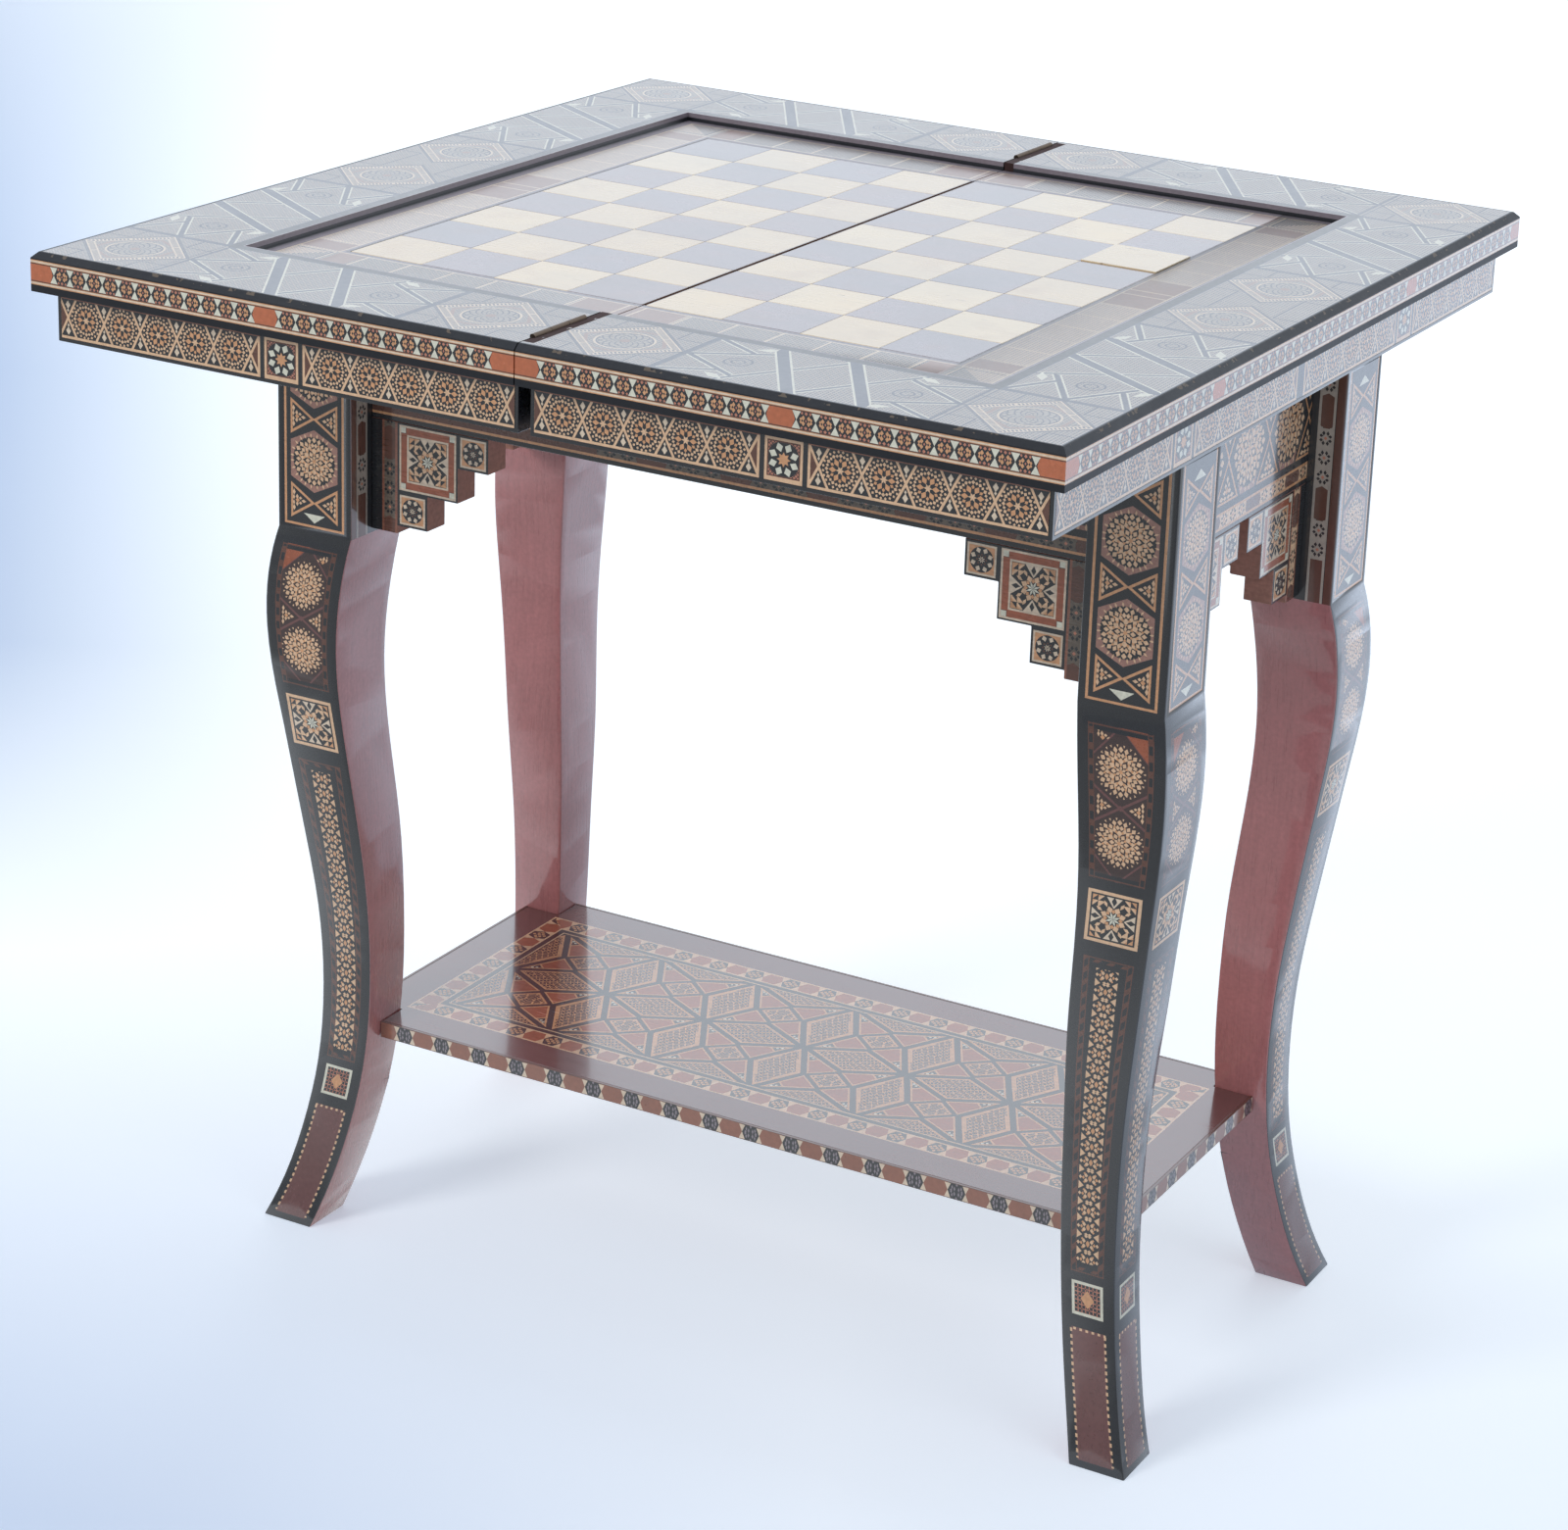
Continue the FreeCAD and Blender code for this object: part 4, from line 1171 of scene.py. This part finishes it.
def lift_square(piece, x, y, height):
    """Raise the one playing square round a point, which has come loose."""
    half = SQUARE / 2 + 0.15  # takes in the square's own sides

    def of_square(face):
        middle = face.calc_center_bounds() / MM
        return abs(middle.x - x) < half and abs(middle.y - y) < half
    pick(piece, "FACE", of_square)
    bpy.ops.mesh.split()
    bpy.ops.transform.translate(value=(0, 0, height), orient_type="GLOBAL")
    bpy.ops.object.mode_set(mode="OBJECT")


class TABLE_OT_board(bpy.types.Operator):
    """Playing squares and the border strips round them"""

    bl_idname = "game_table.board"
    bl_label = "Playing board"

    def execute(self, context):
        arris = context.scene.edge_sizes.arris / 3
        for leaf in LEAVES:
            body = f"{leaf}_leaf"
            for shade, name, slot in (
                    ("light", "bone squares", "bone"), ("dark", "dark squares", "dark_squares")):
                node = f"{leaf}_{shade}_squares"
                squares = copy_of(node, f"{leaf}_{shade}_tiles")
                if (leaf, shade) == ("fixed", "light"):
                    lift_square(squares, 205.8, 87.75, context.scene.edge_sizes.proud)
                round_edges(squares, arris, segments=1)
                place(wear(squares, name), body, slot, [node])
            border = round_edges(copy_of(f"{leaf}_border", f"{leaf}_border_strips"), arris, segments=1)
            place(wear(border, "border inlay"), body, "star_marquetry", [f"{leaf}_border"])
        return {"FINISHED"}


class TABLE_OT_hardware(bpy.types.Operator):
    """Hinges, swivel and the plain wood inside"""

    bl_idname = "game_table.hardware"
    bl_label = "Hardware and inside"

    def execute(self, context):
        for leaf in LEAVES:
            for part in ("panel", "bottom", "bearers"):
                dress_node(f"{leaf}_{part}", "carcass")
            for part in ("hinge_plates", "hinge_screws"):
                dress_node(f"{leaf}_{part}", "brass")
        dress_node("hinge_pins", "brass")
        for node in ("storage_board", "storage_cleats", "pivot_rail", "pivot_block"):
            dress_node(node, "carcass")
        for node in ("swivel_plate", "pivot_bolt", "pivot_nut", "stop_pin"):
            dress_node(node, "steel")
        return {"FINISHED"}


class TABLE_OT_stage(bpy.types.Operator):
    """Floor, backdrop, lamps and camera"""

    bl_idname = "game_table.stage"
    bl_label = "Stage"

    def execute(self, context):
        look = context.scene.stage_look
        bpy.ops.object.select_all(action="DESELECT")
        bpy.ops.mesh.primitive_plane_add(size=40, location=(0, 0, 0))
        floor = context.object
        floor.name = "floor"
        floor.data.materials.append(stage_material(look))
        make_world(context.scene, look)
        for name, spot, aim, size, power, tint in (
                ("key_lamp", (-1.5, -2.9, 2.3), (0, 0, 0.5), 1.3, look.key, (1, 0.985, 0.95)),
                ("side_lamp", (3.0, -0.6, 2.2), (0, 0, 0.5), 2.2, look.side, (0.95, 0.975, 1)),
                ("back_lamp", (-0.8, 3.2, 3.0), (0, 0, 0.6), 2.6, look.back, (0.96, 0.98, 1))):
            lamp = bpy.data.objects.new(name, bpy.data.lights.new(name, "AREA"))
            lamp.data.shape, lamp.data.size, lamp.data.energy, lamp.data.color = "DISK", size, power, tint
            lamp.location = spot
            lamp.rotation_euler = (Vector(aim) - Vector(spot)).to_track_quat("-Z", "Y").to_euler()
            lamp.visible_glossy = False
            context.scene.collection.objects.link(lamp)
        eye = bpy.data.objects.new("photo_camera", bpy.data.cameras.new("photo_camera"))
        context.scene.collection.objects.link(eye)
        eye.data.sensor_width, eye.data.lens = SENSOR, LENS
        eye.data.shift_x, eye.data.shift_y = SHIFT
        eye.data.clip_start, eye.data.clip_end = 0.05, 100
        forward, up = Vector(FORWARD), Vector(UP)
        turn = Matrix((forward.cross(up), up, -forward)).transposed().to_4x4()
        eye.matrix_world = Matrix.Translation(EYE) @ turn
        context.scene.camera = eye
        context.scene.view_settings.view_transform = "Standard"
        return {"FINISHED"}


def rays(tree):
    """Masks of what mirrors show, and of all that the camera, mirrors and glass show."""
    path = tree.nodes.new("ShaderNodeLightPath").outputs
    seen, mirror, through = (Field(path[f"Is {kind} Ray"]) for kind in ("Camera", "Glossy", "Transmission"))
    return mirror, seen | mirror | through


def stage_material(look):
    """Pale floor that looks white to the camera, with painted shade that makes it bluer and darker at its left and
    near end, and keeps the shadow.
    """
    material = bpy.data.materials.new("stage floor")
    material.use_nodes = True
    tree = material.node_tree
    mirror, seen = rays(tree)
    x, y, _ = split(object_place(tree))
    depth = y * 0.856 - x * 0.419 + 3.017  # along the photograph's view
    leftward = (x * -0.89 - y * 0.453 + 0.18) / depth
    left = ramp(leftward, 0.17, 0.27) & ramp(depth, 3.3, 4.2) & ramp(depth * -1, -11.5, -5.2)
    near_end = (ramp(depth * -1, -3.6, -2.6) & ramp(depth, 1.0, 2.0)
                & (ramp(leftward, 0.05, 0.30) * 0.6 + 0.4))
    floor_shade = (left | near_end) & ~mirror
    # painted reflection: mirrors see the floor glow brighter behind the table and darker in front of it
    behind = mirror & ramp(y + x, -0.1, 0.3)
    in_front = mirror & ramp(y * -1, 0.35, 0.75)
    black, floor, white, glint, shade = (
        (*rgb, 1) for rgb in ((0, 0, 0), look.floor, look.white, look.glint, look.shade))
    # painted light: the floor glows brighter the farther it lies along the view
    far_end = ramp(depth, 4.0, 6.0) * 0.3 + 1
    sheen = behind * look.sheen * (ramp(y + x, 0.5, 2.2) * 0.8 + 0.2)
    shader = tree.nodes["Principled BSDF"]
    for name, value in (
            ("Roughness", 0.9), ("Specular IOR Level", 0.1),
            ("Base Color", paint(floor, (floor_shade * 0.16, shade), ((in_front | behind) * 0.94, black))),
            ("Emission Color", paint(white, (floor_shade, shade), (behind, glint))),
            ("Emission Strength", (seen * look.glow * far_end + sheen) * (in_front * -0.2 + 1))):
        feed(shader.inputs[name], value)
    return material


def make_world(scene, look):
    """Even light for surfaces, and a pale backdrop for the camera and for reflections."""
    world = scene.world = bpy.data.worlds.new("studio")
    world.use_nodes = True
    tree = world.node_tree
    mirror, seen = rays(tree)
    _, y, z = split(tree.nodes.new("ShaderNodeTexCoord").outputs["Generated"])
    # painted reflection: mirrors see the sky brighter higher up and darker behind the camera
    high = ramp(z, 0.27, 0.46) * 2.4 + 1
    behind_camera = ramp(y * -1, 0.0, 0.5)
    even = seen * (1 - look.sky) + look.sky + mirror * high * look.veil
    back = tree.nodes["Background"]
    feed(back.inputs["Color"], (*look.air, 1))
    feed(back.inputs["Strength"], even * ((mirror & behind_camera) * -0.65 + 1))


class TABLE_PT_panel(bpy.types.Panel):
    """Lists the pieces of the table in the sidebar."""

    bl_label = "Inlaid game table"
    bl_idname = "TABLE_PT_panel"
    bl_space_type = "VIEW_3D"
    bl_region_type = "UI"
    bl_category = "Game Table"

    def draw(self, context):
        for operator in OPERATORS:
            self.layout.operator(operator.bl_idname)
        for settings in (context.scene.inlay_colours, context.scene.edge_sizes, context.scene.stage_look):
            for name in settings.bl_rna.properties.keys():
                if name not in ("rna_type", "name"):
                    self.layout.prop(settings, name)


OPERATORS = (TABLE_OT_stage, TABLE_OT_legs, TABLE_OT_aprons, TABLE_OT_shelf, TABLE_OT_leaves,
             TABLE_OT_board, TABLE_OT_hardware)
SETTINGS = {"inlay_colours": InlayColours, "edge_sizes": EdgeSizes, "stage_look": StageLook}


def register():
    """Add the settings, the steps and the panel."""
    for held in (*SETTINGS.values(), *OPERATORS, TABLE_PT_panel):
        bpy.utils.register_class(held)
    for name, group in SETTINGS.items():
        setattr(bpy.types.Scene, name, bpy.props.PointerProperty(type=group))


def unregister():
    """Take them away again."""
    for name in SETTINGS:
        delattr(bpy.types.Scene, name)
    for held in reversed((*SETTINGS.values(), *OPERATORS, TABLE_PT_panel)):
        bpy.utils.unregister_class(held)


def main():
    """Build the table and its stage."""
    register()
    for make in (bpy.ops.game_table.stage, bpy.ops.game_table.legs, bpy.ops.game_table.aprons,
                 bpy.ops.game_table.shelf, bpy.ops.game_table.leaves, bpy.ops.game_table.board,
                 bpy.ops.game_table.hardware):
        make()


if __name__ == "__main__":
    main()
